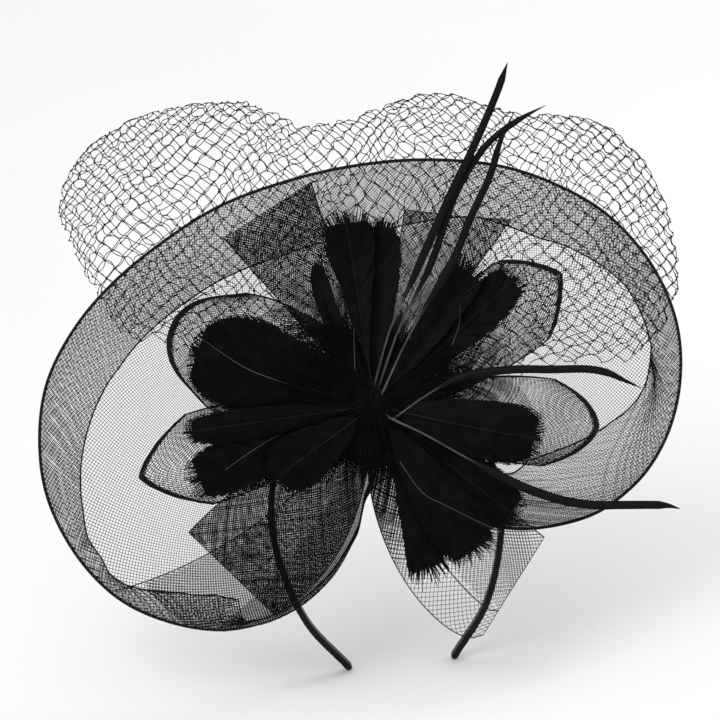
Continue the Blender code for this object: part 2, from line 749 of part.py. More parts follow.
def clip_spring(frame, steel):
    """A wire coil round the pin, its two arms pressing the jaws together."""
    turns = np.linspace(-0.5 * math.pi, (2 * SPRING_TURNS + 0.5) * math.pi, 12 * SPRING_TURNS + 6)
    coil = [
        (CLIP_PIN_X + SPRING_RADIUS * math.cos(t),
         (t / (2 * math.pi) - SPRING_TURNS / 2) * SPRING_PITCH,
         CLIP_PIN_Z + SPRING_RADIUS * math.sin(t)) for t in turns
    ]
    first, last = np.add(coil[0], SPRING_ARMS[0]), np.add(coil[-1], SPRING_ARMS[1])
    path = [first] + coil + [last]
    points = np.array(path, float)
    run = np.gradient(points, axis=0)
    run /= np.linalg.norm(run, axis=1, keepdims=True)
    across = np.array([0.0, 1.0, 0.0])
    rings = []
    for p, d in zip(points, run):
        side = np.cross(d, across)
        side /= np.linalg.norm(side)
        up = np.cross(side, d)
        rings.append(np.array([
            p + SPRING_WIRE * (math.cos(t) * side + math.sin(t) * up)
            for t in np.linspace(0, 2 * math.pi, 6, endpoint=False)
        ]))
    add_object("clip_spring", sweep("clip_spring", rings, rings), steel, frame)


def hair_clip(back, steel):
    frame = empty("clip_frame", back, Matrix.Translation((0, -CLIP_AT * MM, 0)))
    pin_frame = empty(
        "clip_pin_axis", frame, Matrix.Translation((CLIP_PIN_X * MM, 0, CLIP_PIN_Z * MM))
    )
    lower_jaw(frame, steel)
    upper_jaw(frame, pin_frame, steel)
    reach = CLIP_WIDTH / 2 + 0.4
    bar = round_bar(
        "clip_pin", PIN_RADIUS, (CLIP_PIN_X, -reach, CLIP_PIN_Z), (CLIP_PIN_X, reach, CLIP_PIN_Z)
    )
    add_object("clip_pin", bar, steel, frame)
    clip_spring(frame, steel)


# ---------------------------------------------------------------- assembly


def empty(name, parent, local):
    made = bpy.data.objects.new(name, None)
    bpy.context.collection.objects.link(made)
    made.parent = parent
    made.matrix_local = local
    return made


def disc_rotation():
    """Columns u, v, w of the hat's frame: leaning back by TILT, turned in its own plane by ROLL."""
    level_v = Vector((0, math.sin(TILT), math.cos(TILT)))
    out = Vector((0, -math.cos(TILT), math.sin(TILT)))
    level_u = Vector((1, 0, 0))
    u = level_u * math.cos(ROLL) - level_v * math.sin(ROLL)
    v = level_u * math.sin(ROLL) + level_v * math.cos(ROLL)
    return Matrix((u, v, out)).transposed()


def main():
    clear_scene()
    satin = ((0.012, 0.012, 0.013), 0.35)
    crin = ((0.01, 0.01, 0.011), 0.5)
    felt = ((0.015, 0.015, 0.016), 0.95)
    barbs = ((0.008, 0.008, 0.009), 0.6)
    steel = ((0.62, 0.62, 0.63), 0.25, 1.0)
    dark_wire = ((0.01, 0.01, 0.01), 0.4)

    pivot = empty("hat_pivot", None, Matrix.Translation((0, 0, BAND_THICKNESS / 2 * MM)))
    turn = disc_rotation()
    seat = Matrix.Translation(turn.col[2] * AXIS_DROP * MM)
    disc = empty("disc_frame", pivot, seat @ turn.to_4x4())
    felt_back = (FELT_FRONT - FELT_THICKNESS) * MM
    back = empty(
        "felt_back_frame",
        disc,
        Matrix.Translation((0, 0, felt_back)) @ Matrix.Rotation(ROLL, 4, "Z")
        @ Matrix.Rotation(math.pi, 4, "X"),
    )
    headband(satin, steel)
    felt_base(disc, felt)
    sleeves(back, felt)
    brim(disc, crin, dark_wire)
    veil(disc, dark_wire)
    crin_tails(disc, crin)
    crin_loops(disc, crin)
    feathers(disc, barbs)
    spikes(disc, barbs)
    hub(disc, barbs)
    hair_clip(back, steel)


main()
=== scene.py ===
import math
from itertools import product

import bpy
import numpy as np
from mathutils import Matrix, Vector


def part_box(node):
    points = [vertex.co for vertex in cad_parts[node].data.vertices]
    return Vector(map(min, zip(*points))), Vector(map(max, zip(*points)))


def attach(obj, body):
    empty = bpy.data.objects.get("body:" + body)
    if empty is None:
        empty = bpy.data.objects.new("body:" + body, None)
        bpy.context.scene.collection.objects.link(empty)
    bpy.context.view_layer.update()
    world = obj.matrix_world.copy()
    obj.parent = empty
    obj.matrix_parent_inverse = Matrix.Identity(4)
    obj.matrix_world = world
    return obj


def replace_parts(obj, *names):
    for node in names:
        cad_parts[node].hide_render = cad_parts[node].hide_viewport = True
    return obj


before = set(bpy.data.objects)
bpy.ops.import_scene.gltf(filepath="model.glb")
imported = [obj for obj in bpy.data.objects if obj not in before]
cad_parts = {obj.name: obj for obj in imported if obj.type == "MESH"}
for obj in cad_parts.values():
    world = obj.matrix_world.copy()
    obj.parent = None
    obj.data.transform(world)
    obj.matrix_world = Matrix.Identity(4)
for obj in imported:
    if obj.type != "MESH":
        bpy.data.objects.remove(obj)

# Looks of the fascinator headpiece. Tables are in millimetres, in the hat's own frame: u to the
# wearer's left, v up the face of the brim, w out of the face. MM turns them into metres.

MM = 0.001

# The hat's frame on the headband, as in the CAD.
TILT = math.radians(22)
ROLL = math.radians(6)
AXIS_DROP = 6.8
BAND_THICKNESS = 3.8

# Camera: the middle of its view in the hat's frame, its distance and the width that it sees there.
VIEW_CENTRE = (-8.1, 24.3, 0.0)
VIEW_DISTANCE = 1800.0
VIEW_WIDTH = 389.0
SENSOR = 36.0

# Stage, in metres: half the floor's side and its gap below the band; the lights' places, sizes and
# powers; the strength of the surroundings.
FLOOR_HALF = 9.0
FLOOR_GAP = 0.0004
LIGHTS = {"key": ((-1.2, -1.4, 2.2), 1.6, 26.0), "fill": ((1.8, 0.8, 1.8), 1.8, 16.0)}
SURROUNDINGS = 0.88

# Headband.
BAND_HALF = [(4, 0), (30, -5.2), (53, -25), (61, -58), (58.5, -90), (48, -124), (29, -152)]
BAND_WIDTH = 6.4
BAND_SQUARE = 0.45
BAND_ACROSS = np.array([0.0, 1.0, 0.0])
WRAP_PITCH = 9.0
WRAP_STEP = 0.28
TIP_LENGTH = 3.3

# Brim outline, how far its rim curls back at each bearing, and its crin.
BRIM_OUTLINE = [
    (-4, -49), (-10, -70), (-22, -93), (-41, -111), (-62, -121), (-87, -125), (-115, -121),
    (-143, -108), (-166, -85), (-182, -54), (-187, -22), (-183, 11), (-168, 41), (-146, 67),
    (-118, 90), (-85, 110), (-46, 124), (-8, 132), (30, 135), (68, 132), (102, 121), (131, 104),
    (154, 78), (168, 47), (171, 16), (165, -13), (149, -39), (126, -58), (100, -66), (75, -68),
    (50, -62), (28, -50), (10, -39),
]
RIM_DROP = [
    (0, 44), (30, 38), (60, 24), (90, 16), (120, 22), (150, 36), (180, 42), (205, 42),
    (225, 34), (240, 18), (254, 8), (263, 0), (298, 0), (325, 7), (342, 24),
]
DROP_POWER = 6
CURL = 10.0
CURL_POWER = 30
CURL_FULL = 16.0
HEM_WIDTHS = [
    (1.4, 45.5), (4.5, 41), (12, 35.6), (25, 37), (36, 46), (45, 50), (60, 46), (75, 48),
    (100, 50), (125, 54), (148, 58.5), (171.6, 57.7), (178, 54.5), (184, 49.6), (190, 44.3),
    (195, 39.8), (200, 34.2), (205, 26), (209.5, 25), (212.7, 19.3), (216, 21.8), (219, 28),
    (224, 37), (230, 40), (235, 34), (240, 8), (262, 5), (290, 10), (305, 26), (315, 30.3),
    (330, 56.8), (340, 71.5), (346.4, 67), (352.7, 61), (356, 57.2), (358.3, 52),
]
FELT_RADIUS = 33.0
CRIN_START = 16.0
CRIN_COUNT = 420
CRIN_PITCH = 360 / CRIN_COUNT
CRIN_SHARE = 0.23
HEM_SHARES = [
    (30, 0.18), (50, 0.115), (140, 0.115), (165, 0.165), (205, 0.18), (218, 0.24), (232, 0.25),
    (240, 0.1), (300, 0.1), (320, 0.18),
]
HEM_LAYERS = 2
HEM_STEPS = np.linspace(0, 1, 11) ** 1.5
OVERLAP = (-138.0, -90.5)
OVERLAP_SLANT = 0.11
OVERLAP_MIDDLE = 119.0
OVERLAP_STEP = 16.0
OVERLAP_LAYERS = 2
OVERLAP_SHARE = 0.29
RIM_COUNT = 720
RIM_FOLD = 0.8
FOLD_ANGLES = (10, 50, 90, 130, 170)
RIM_ROLL = [(225, 0.9), (245, 0.45), (300, 0.45), (320, 0.9)]
CRIN_MIDDLE = 150.0
RIM_STEPS = np.array([2, 4, 7, 11])

# Veil: bearing and reach of its crest, and the puff beyond the flower.
VEIL_CREST = [
    (11, 144), (15, 160), (21, 175), (26, 181), (34, 190), (43, 196), (51, 195), (56, 188),
    (63, 175), (71, 172), (76, 173), (82, 169), (89, 160), (97, 153), (105, 155), (109, 166),
    (114, 179), (125, 195), (131, 203), (138, 208), (144, 207), (149, 199), (153, 182),
    (158, 161), (165, 140),
]
VEIL_START = 27.0
VEIL_LEVEL = 1.5
VEIL_GAP = 0.8
PUFF_START = 126.0
PUFF_HEIGHT = 18.0
PUFF_FULL = 50.0
PUFF_SLACK = 1.25
NET_CELL = 9.6
NET_GATHER = 60.0
NET_LAYERS = [(0.0, 0.0), (2.9, 1.7)]
NET_SAG = 0.9
NET_RADIUS = 0.27
KNOT_RADIUS = 0.66
NET_DRIFT = 5.0
NET_CRUMPLE = 0.5

# Crin loops: bearing, reach, half width at the tip, sideways shift there, how far its corners fall
# back, how pointed it is (2 round, near 1 pointed), how soon it widens and how its corners draw in.
LOOPS = {
    "crin_loop_upper_left": (160, 118, 39.5, -1, 0.27, 2.0, 0.22, 2.0),
    "crin_loop_lower_left": (197.5, 133, 31, -1, 0.25, 1.25, 0.4, 1.2),
    "crin_loop_upper_right": (33, 123, 31, 5, 0.2, 1.2, 0.4, 1.2),
    "crin_loop_right": (-8, 121, 29, 5, 0.22, 1.6, 0.4, 1.2),
}
LOOP_START = 8.0
LOOP_LOW = 4.8
LOOP_HIGH = 6.6
LOOP_MIDDLE = 9.6
LOOP_TURN = 5.0
LOOP_GATHER = 2.2
LOOP_SKEW = 0.07
LOOP_SPACING = 1.7
LOOP_THREAD = 0.137
TURN_SPACING = 0.5
TURN_THREAD = 0.15
TURN_SHARE = 0.85

# Crin tails: bearing, reach, half widths at the end to the right and left, slant of the cut, how
# far its right and left selvedges bulge and how full, the spacing and radius of its threads, and
# its layers.
TAILS = {
    "crin_tail_bottom_left": (229.7, 119.5, 32, 32, 2, 6, 17, 0.8, 1.4, 0.151, 4),
    "crin_tail_bottom_right": (-52.5, 123, 29, 29, -10.8, 27, 0, 0.5, 2.0, 0.165, 1),
    "crin_tail_top_left": (118.9, 120, 28, 28, -2, 0, 0, 0.8, 1.4, 0.175, 3),
    "crin_tail_top_right": (65, 112, 24, 30, -9.6, 0, 0, 0.8, 1.4, 0.151, 3),
}
# Where the edge of a tail's second half layer runs, from -1 at its right to 1 at its left.
HALF_LAYERS = {"crin_tail_bottom_right": -0.5}
# Shares of a ribbon's length to which the pleats of its gathered end reach.
TAIL_PLEATS = {"crin_tail_bottom_right": (0.62, 0.55, 0.49, 0.44, 0.39, 0.34)}
LOOP_PLEATS = (0.68, 0.6, 0.52, 0.45)
PLEAT_SPACING = 1.8
PLEAT_STEP = 0.07
TAIL_START = 7.0
TAIL_LEVEL = 3.1
TAIL_GATHER = 2.6
LAYER_SHIFT = 0.43

# Feathers: bearing, length, width, level above the brim (0 to 2), sideways bend, how blunt the
# trimmed tip is (0 round, 1 cut straight), how often the vane is split, and the power with which
# the vane widens (small widens early).
FEATHERS = {
    "feather_top_left": (99, 102, 32, 2, 0, 0.6, 6, 1.3),
    "feather_top": (88, 99, 24, 1, 0, 0.1, 5, 0.7),
    "feather_top_curved": (122, 82, 11, 0, -13, 0.0, 2, 0.5),
    "feather_upper_left": (161, 103, 50, 0, 4, 0.0, 0, 0.45),
    "feather_left": (188, 102, 17, 1, 0, 0.3, 3, 0.45),
    "feather_lower_left": (202.5, 106, 30, 0, 0, 0.55, 4, 0.45),
    "feather_low_left": (216, 66, 32, 2, 0, 0.2, 3, 0.6),
    "feather_bottom": (-69, 95, 24, 0, -5, 1.0, 3, 1.0),
    "feather_bottom_right": (-56, 97, 34, 1, 1, 0.5, 3, 0.6),
    "feather_lower_right": (-39, 96, 32, 0, 1, 0.35, 2, 0.6),
    "feather_right": (-14, 90, 34, 1, 4, 0.3, 4, 0.45),
    "feather_upper_right": (41, 103, 25, 0, 3, 0.5, 4, 0.45),
    "feather_top_right": (53, 90, 22, 1, 4, 0.8, 4, 0.6),
}
# Pale quills: radius, and the route (u, v) that shows beyond the flower.
PALE_QUILLS = {
    "feather_lower_left": (0.34, [
        (-9.2, 1.2), (-29.6, -6.3), (-44.6, -12.2), (-52.6, -16.4), (-59.5, -20.2), (-70.7, -27.6),
        (-80.3, -34.5),
    ]),
    "feather_top": (0.26, [(-10.8, 18.9), (-11.3, 42.5), (-9.7, 50), (-8.1, 61.7)]),
    "feather_top_curved": (0.2, [(-14.5, 12.5), (-21, 21.1), (-29.5, 33.4)]),
    "feather_upper_left": (0.22, [(-45.6, 10.9), (-67, 18.9), (-81.9, 28), (-95.2, 37.7)]),
    "feather_bottom": (0.26, [(6.9, -18.6), (14.4, -29.3), (21.9, -44.3)]),
    "feather_bottom_right": (0.28, [
        (13.3, -30.3), (25, -46.3), (38.4, -53.7), (55.4, -62.1), (67.6, -67.4),
    ]),
    "feather_top_right": (0.22, [(41.1, 32.3), (44.8, 43), (45.3, 53.7)]),
}
FEATHER_START = 6.4
FEATHER_LEVEL = 9.8
FEATHER_STEP = 2.5
FEATHER_RISE = 0.095
RISE_STEP = 0.03
CAMBER = 0.7
BARB_SPACING = 0.4
BARB_WIDTH = 0.62
BARB_SWEEP = 1.15
TIP_SWEEP = 9.0
SPLIT_DEPTH = 0.018
DOWN_COUNT = 2400
QUILL_RADIUS = 0.26
DOWN_REACH = 56.0
DOWN_START = 5.5
FLUFF_COUNT = 260

# Spikes: level at the hub, length of the bare quill, half width of the blade beyond it, length of
# its taper, and the route (u, v) from the hub to the tip.
SPIKES = {
    "spike_tall": (19.6, 58, 2.2, 10, [
        (-1.6, 6.6), (7.9, 40.3), (17.4, 61.5), (39.6, 111.3), (51.7, 136.5), (63.1, 162.7),
        (69.8, 181.3),
    ]),
    "spike_bent": (17.6, 58, 1.9, 20, [
        (0.8, 6.7), (13.2, 42), (29.1, 74.2), (42.3, 111.3), (54.4, 132.3), (64.4, 143.3),
        (78, 152.6), (90.3, 159),
    ]),
    "spike_fork": (22.2, 52, 2.1, 27, [
        (3.4, 5.8), (18.5, 38.1), (40.7, 76.3), (50.2, 99), (60.6, 121.7), (65.8, 139.1),
        (73.3, 155.4),
    ]),
    "spike_right": (18.6, 36, 2.3, 22, [
        (6.2, -2.6), (9.5, -6.7), (26, 4.6), (45.7, 15.2), (71.5, 19.1), (93.7, 19.3), (112, 19.5),
        (123, 17.6), (130.5, 14.2), (141.3, 9.3),
    ]),
    "spike_lower_right": (20.6, 56, 2.5, 12, [
        (5.2, -4.4), (9, -7.2), (25.5, -14.9), (47.8, -27.3), (71.6, -40), (86.4, -46.1),
        (101, -50.5), (116, -52.5), (131, -52.4), (152, -52.4), (161, -54.2),
    ]),
}
SPIKE_RISE = 0.12
QUILL_HALF_WIDTH = 0.62
BLADE_SECTION = [
    (1, 0), (0.5, 0.35), (0.22, 0.5), (0.1, 1.0), (-0.1, 1.0), (-0.22, 0.5), (-0.5, 0.35), (-1, 0),
    (-0.5, -0.35), (-0.22, -0.5), (0.22, -0.5), (0.5, -0.35),
]

# Hub: (radius, level) of its turned outline.
HUB_PROFILE = [
    (3.9, -0.4), (3.9, 2.0), (4.9, 3.2), (4.9, 22.4), (4.0, 24.2), (2.2, 25.1), (0.2, 25.3),
]
HUB_WIRE = 0.38
WINDING_TURNS = 25
WINDING_LOW = 3.4
WINDING_HEIGHT = 18.6
WINDING_RADIUS = 5.05

# Radii of selvedges, how far crossing threads and layers of a ribbon lie apart, and how the
# threads' radii run along barbs and down.
SELVEDGE_HEM = 0.42
SELVEDGE_LAP = 0.4
SELVEDGE_LOOP = 0.34
SELVEDGE_TAIL = 0.3
SELVEDGE_CUT = 0.2
BRAID_GAP = 0.12
RIBBON_GAP = 0.1
LAYER_GAP = 0.3
PLEAT_GAP = 0.4
LAP_GAP = 0.5
BARB_TAPER = np.array([0.7, 1.0, 1.0, 1.0, 0.75]) * BARB_WIDTH / 2
DOWN_TAPER = np.array([1.0, 1.0, 0.9, 0.7, 0.3]) * 0.3
OUT = np.array([0.0, 0.0, 1.0])

# Finishes: tone, roughness and specular level of the shader; then the low and high colour, the low
# and high roughness and the scale of the noise over it, and its bump's distance and strength.
FINISHES = {
    "crin_thread": (0.004, 0.4, 0.12, 0.0012, (0.004, 0.004, 0.0042), 0.36, 0.52, 900, 5e-5, 0.3),
    "edge_wire_cover": (0.003, 0.4, 0.12, 0.001, (0.003, 0.003, 0.00315), 0.36, 0.52, 900, 5e-5, 0.3),
    "hub_thread": (0.003, 0.4, 0.12, 0.001, (0.003, 0.003, 0.00315), 0.36, 0.52, 900, 5e-5, 0.3),
    "net_thread": (0.005, 0.6, 0.12, 0.002, (0.008, 0.008, 0.0085), 0.5, 0.7, 1500, 1e-4, 0.5),
    "feather_barbs": (0.002, 0.6, 0.07, 0.001, (0.004, 0.004, 0.0043), 0.4, 0.65, 160, 0, 0),
    "quill_dark": (0.012, 0.45, 0.2, 0.002, (0.012, 0.01176, 0.01116), 0.36, 0.5, 25, 0, 0),
    "quill_pale": (0.1, 0.45, 0.2, 0.03, (0.1, 0.098, 0.093), 0.36, 0.5, 25, 0, 0),
    "spike_quill": (0.08, 0.4, 0.3, 0.025, (0.09, 0.088, 0.084), 0.34, 0.5, 90, 1e-4, 0.3),
    "stripped_blade": (0.002, 0.5, 0.1, 0.001, (0.003, 0.003, 0.0032), 0.42, 0.6, 500, 1e-4, 0.4),
    "satin_ribbon": (0.002, 0.3, 0.15, 0.001, (0.003, 0.003, 0.0032), 0.28, 0.42, 420, 8e-5, 0.5),
    "wool_felt": (0.012, 0.95, 0.1, 0.002, (0.008, 0.008, 0.0085), 0.88, 1.0, 1800, 4e-4, 0.8),
    "clip_steel": (0.6, 0.28, 0.5, 0.48, (0.6, 0.6, 0.612), 0.2, 0.38, 300, 4e-5, 0.25),
    "spring_steel": (0.5, 0.28, 0.5, 0.4, (0.5, 0.5, 0.51), 0.2, 0.38, 500, 4e-5, 0.25),
    "pale_floor": (0.86, 0.9, 0.1, 0.84, (0.88, 0.88, 0.88), 0.85, 0.95, 1.2, 0, 0),
}
# Which finishes are metal, and the sheen's weight and roughness on ribbon and felt.
METALS = ("clip_steel", "spring_steel")
SHEENS = {"satin_ribbon": (0.03, 0.4), "wool_felt": (0.08, 0.7)}
# Where a finish's noise is stretched, and how fine it is.
STRETCHES = {"satin_ribbon": (1, 5, 1), "clip_steel": (1, 18, 18), "spring_steel": (1, 18, 18)}
DETAILS = {"wool_felt": 6.0}


def hat_axes():
    """Rows u, v, w of the hat's frame in the row frame."""
    level_u = np.array([1.0, 0.0, 0.0])
    level_v = np.array([0.0, math.sin(TILT), math.cos(TILT)])
    out = np.array([0.0, -math.cos(TILT), math.sin(TILT)])
    u = level_u * math.cos(ROLL) - level_v * math.sin(ROLL)
    v = level_u * math.sin(ROLL) + level_v * math.cos(ROLL)
    return np.array([u, v, out])


AXES = hat_axes()
HAT_ORIGIN = np.array([0, 0, BAND_THICKNESS / 2]) + AXES[2] * AXIS_DROP


def hat_to_row(points):
    """Points of the hat's frame, in millimetres, as metres in the row frame."""
    return (np.asarray(points, float) @ AXES + HAT_ORIGIN) * MM


# ---- curves and meshes


def unit(vectors):
    """The vectors at length one."""
    return vectors / np.maximum(np.linalg.norm(vectors, axis=-1, keepdims=True), 1e-9)


def catmull_rom(points, steps, closed=False):
    """Points along a smooth curve through the given ones, `steps` to each span."""
    p = np.array(points, float)
    if closed:
        p = np.vstack([p[-1:], p, p[:2]])
    else:
        p = np.vstack([2 * p[:1] - p[1:2], p, 2 * p[-1:] - p[-2:-1]])
    t = (np.arange(steps) / steps)[:, None]
    spans = [
        0.5 * (2 * b + (c - a) * t + (2 * a - 5 * b + 4 * c - d) * t**2
               + (3 * b - a - 3 * c + d) * t**3)
        for a, b, c, d in zip(p, p[1:], p[2:], p[3:])
    ]
    return np.vstack(spans if closed else spans + [p[-2:-1]])


def distances(line):
    """How far along a line each of its points is."""
    return np.concatenate([[0], np.cumsum(np.linalg.norm(np.diff(line, axis=0), axis=1))])


def resample(points, count):
    """The curve through the points, cut into equal lengths."""
    line = np.asarray(points, float)
    run = distances(line)
    marks = np.linspace(0, run[-1], count)
    return np.stack([np.interp(marks, run, line[:, k]) for k in range(line.shape[1])], axis=1)


def make_mesh(name, points, *faces):
    """A smooth mesh from points in metres and arrays of faces, each of one number of corners."""
    mesh = bpy.data.meshes.new(name)
    mesh.vertices.add(len(points))
    mesh.vertices.foreach_set("co", np.asarray(points, np.float32).ravel())
    index = np.concatenate([f.ravel() for f in faces]).astype(np.int32)
    totals = np.concatenate([np.full(len(f), f.shape[1]) for f in faces])
    starts = np.concatenate([[0], np.cumsum(totals)[:-1]]).astype(np.int32)
    mesh.loops.add(len(index))
    mesh.loops.foreach_set("vertex_index", index)
    mesh.polygons.add(len(starts))
    mesh.polygons.foreach_set("loop_start", starts)
    mesh.polygons.foreach_set("use_smooth", np.ones(len(starts), bool))
    mesh.update(calc_edges=True)
    return mesh


def ring_faces(rows, cols, closed=False):
    """Quads between rings of points, and from the last ring to the first where it is closed."""
    i = np.arange(rows if closed else rows - 1)[:, None]
    k = np.arange(cols)[None, :]
    j, m = (i + 1) % rows, (k + 1) % cols
    quad = np.stack([i * cols + k, i * cols + m, j * cols + m, j * cols + k], axis=-1)
    return quad.reshape(-1, 4)


def tube_parts(lines, radii, sides, reference=OUT, closed=False):
    """Points and quads of round tubes along lines; the reference is never parallel to a line."""
    turns = np.linspace(0, 2 * math.pi, sides, endpoint=False)[None, :, None]
    points, quads, base = [], [], 0
    for line, radius in zip(lines, radii):
        if closed:
            run = unit(np.roll(line, -1, axis=0) - np.roll(line, 1, axis=0))
        else:
            run = unit(np.gradient(line, axis=0))
        side = unit(np.cross(run, reference))
        up = np.cross(side, run)
        ring = np.cos(turns) * side[:, None] + np.sin(turns) * up[:, None]
        size = np.broadcast_to(radius, len(line))[:, None, None]
        points.append((line[:, None] + ring * size).reshape(-1, 3))
        quads.append(ring_faces(len(line), sides, closed) + base)
        base += len(line) * sides
    return np.concatenate(points), np.concatenate(quads)


def grid_faces(rows, cols, ring=False):
    """Quads of a grid of points, whose last row meets the first in a ring."""
    i = np.arange(rows if ring else rows - 1)[:, None]
    j = np.arange(cols - 1)[None, :]
    n = (i + 1) % rows
    quad = np.stack([i * cols + j, n * cols + j, n * cols + j + 1, i * cols + j + 1], axis=-1)
    return quad.reshape(-1, 4)


def hat_piece(name, points, faces, material):
    """A piece of the hat from points in its frame."""
    mesh = make_mesh(name, hat_to_row(points), *faces)
    return place(name, mesh, material, "hat")


def tube_piece(name, lines, radii, sides, material, slot="crin", **how):
    """A piece of the hat made of tubes along lines."""
    points, quads = tube_parts(lines, radii, sides, **how)
    return hat_piece(name, points, [quads], material)


def new_object(name, data):
    """A new object in the scene."""
    obj = bpy.data.objects.new(name, data)
    bpy.context.scene.collection.objects.link(obj)
    return obj


def place(name, mesh, material, body):
    """An object of this mesh and material, riding a body."""
    obj = new_object(name, mesh)
    mesh.materials.append(material)
    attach(obj, body)
    return obj


def polar(bearing, along, across):
    """(u, v) of points `along` a bearing from the hub and `across` to its left."""
    cos, sin = math.cos(math.radians(bearing)), math.sin(math.radians(bearing))
    return cos * along - sin * across, sin * along + cos * across


def wobble(seed, size, *coords):
    """A smooth random function of the coordinates, about -1 to 1, that repeats for one seed."""
    rng = np.random.default_rng(seed)
    total = 0.0
    for _ in range(5):
        phase = rng.uniform(0, 2 * math.pi)
        total = total + np.sin(sum(c * rng.normal(0, 1 / size) for c in coords) + phase)
    return total / 2.6


# ---- materials


def add_node(material, kind, **values):
    """A new node, with the values of its inputs."""
    node = material.node_tree.nodes.new(kind)
    for name, value in values.items():
        node.inputs[name.replace("_", " ").title()].default_value = value
    return node


def finish_noise(made, name, scale):
    """The noise of a finish, stretched over the object."""
    coords = add_node(made, "ShaderNodeTexCoord")
    mapping = add_node(made, "ShaderNodeMapping", scale=STRETCHES.get(name, (1, 1, 1)))
    noise = add_node(made, "ShaderNodeTexNoise", scale=scale, detail=DETAILS.get(name, 3.0))
    made.node_tree.links.new(coords.outputs["Object"], mapping.inputs["Vector"])
    made.node_tree.links.new(mapping.outputs["Vector"], noise.inputs["Vector"])
    return noise.outputs["Fac"]


def finish(name):
    """The material of a row of the table, whose colour and roughness drift with a noise."""
    tone, rough, specular, low, high, rough_low, rough_high, scale, distance, strength = FINISHES[name]
    made = bpy.data.materials.new(name)
    made.use_nodes = True
    link = made.node_tree.links.new
    shader = made.node_tree.nodes["Principled BSDF"].inputs
    shader["Base Color"].default_value = (tone, tone, tone, 1.0)
    shader["Roughness"].default_value = rough
    shader["Metallic"].default_value = float(name in METALS)
    shader["Specular IOR Level"].default_value = specular
    if name in SHEENS:
        shader["Sheen Weight"].default_value, shader["Sheen Roughness"].default_value = SHEENS[name]
    noise = finish_noise(made, name, scale)
    ramp = add_node(made, "ShaderNodeValToRGB")
    for stop, position, colour in zip(ramp.color_ramp.elements, (0.3, 0.7), ((low,) * 3, high)):
        stop.position, stop.color = position, (*colour, 1.0)
    spread = add_node(made, "ShaderNodeMapRange", to_min=rough_low, to_max=rough_high)
    link(noise, ramp.inputs["Fac"])
    link(ramp.outputs["Color"], shader["Base Color"])
    link(noise, spread.inputs["Value"])
    link(spread.outputs["Result"], shader["Roughness"])
    if strength:
        bump = add_node(made, "ShaderNodeBump", distance=distance, strength=strength)
        link(noise, bump.inputs["Height"])
        link(bump.outputs["Normal"], shader["Normal"])
    return made


# ---- camera and stage


def make_camera():
    """A camera that looks straight at the face of the hat."""
    data = bpy.data.cameras.new("camera")
    camera = new_object("camera", data)
    data.sensor_width = SENSOR
    data.lens = SENSOR * VIEW_DISTANCE / VIEW_WIDTH
    data.clip_start, data.clip_end = 0.05, 50
    matrix = np.eye(4)
    matrix[:3, :3] = AXES.T
    matrix[:3, 3] = hat_to_row(np.array(VIEW_CENTRE) + (0, 0, VIEW_DISTANCE))
    camera.matrix_world = Matrix(matrix.tolist())
    bpy.context.scene.camera = camera


def make_floor():
    """A plain pale floor just below the ends of the band."""
    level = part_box("headband_tip_left")[0].z - FLOOR_GAP
    corners = [(x * FLOOR_HALF, y * FLOOR_HALF, level) for x, y in ((-1, -1), (1, -1), (1, 1), (-1, 1))]
    mesh = make_mesh("floor", corners, np.array([[0, 1, 2, 3]]))
    floor = new_object("floor", mesh)
    mesh.materials.append(finish("pale_floor"))


def make_lights():
    """An even white surround and soft square lights aimed at the hat."""
    world = bpy.data.worlds.new("studio")
    world.use_nodes = True
    background = world.node_tree.nodes["Background"].inputs
    background["Color"].default_value = (1, 1, 1, 1)
    background["Strength"].default_value = SURROUNDINGS
    bpy.context.scene.world = world
    for name, (spot, size, power) in LIGHTS.items():
        data = bpy.data.lights.new(name, "AREA")
        data.size, data.energy = size, power
        light = new_object(name, data)
        light.location = spot
        light.rotation_euler = (-Vector(spot)).to_track_quat("-Z", "Y").to_euler()
    bpy.context.scene.view_settings.view_transform = "Standard"


# ---- brim


def around(table):
    """Bearings and values of a table, ready for interpolation with a period of 360."""
    return [np.array(column, float) for column in zip(*table)]


RIM = catmull_rom(BRIM_OUTLINE, 16, closed=True)
RIM_BEARINGS = np.degrees(np.arctan2(RIM[:, 1], RIM[:, 0]))
RIM_REACHES = np.hypot(RIM[:, 0], RIM[:, 1])


def rim_reach(bearings):
    """Distance from the hub to the rim."""
    return np.interp(bearings, RIM_BEARINGS, RIM_REACHES, period=360)


def rim_drop(bearings):
    """How far the rim curls back, eased between the entries of its table."""
    bearings = np.asarray(bearings, float) % 360
    known, values = around(RIM_DROP + [(360, RIM_DROP[0][1])])
    i = np.clip(np.searchsorted(known, bearings, side="right") - 1, 0, len(RIM_DROP) - 1)
    t = (bearings - known[i]) / (known[i + 1] - known[i])
    return values[i] + (values[i + 1] - values[i]) * (3 - 2 * t) * t * t


def brim_points(bearings, radii):
    """Points of the brim's front at these bearings and radii."""
    a = np.radians(bearings)
    share, drop = radii / rim_reach(bearings), rim_drop(bearings)
    curl = CURL * np.minimum(1, drop / CURL_FULL)
    w = -drop * share**DROP_POWER - curl * share**CURL_POWER
    return np.stack([radii * np.cos(a), radii * np.sin(a), w], axis=-1)


def brim_normals(bearings, radii):
    """Directions out of the brim's front."""
    turn, step = 0.3, 0.3
    along = brim_points(bearings + turn, radii) - brim_points(bearings - turn, radii)
    out = brim_points(bearings, radii + step) - brim_points(bearings, radii - step)
    return unit(np.cross(out, along))


def inside_runs(inside, least=3):
    """(first, last) indices of each stretch of more than `least` that is inside."""
    edges = np.flatnonzero(np.diff(np.concatenate([[0], inside.astype(int), [0]])))
    return [(a, b - 1) for a, b in zip(edges[::2], edges[1::2]) if b - a > least]


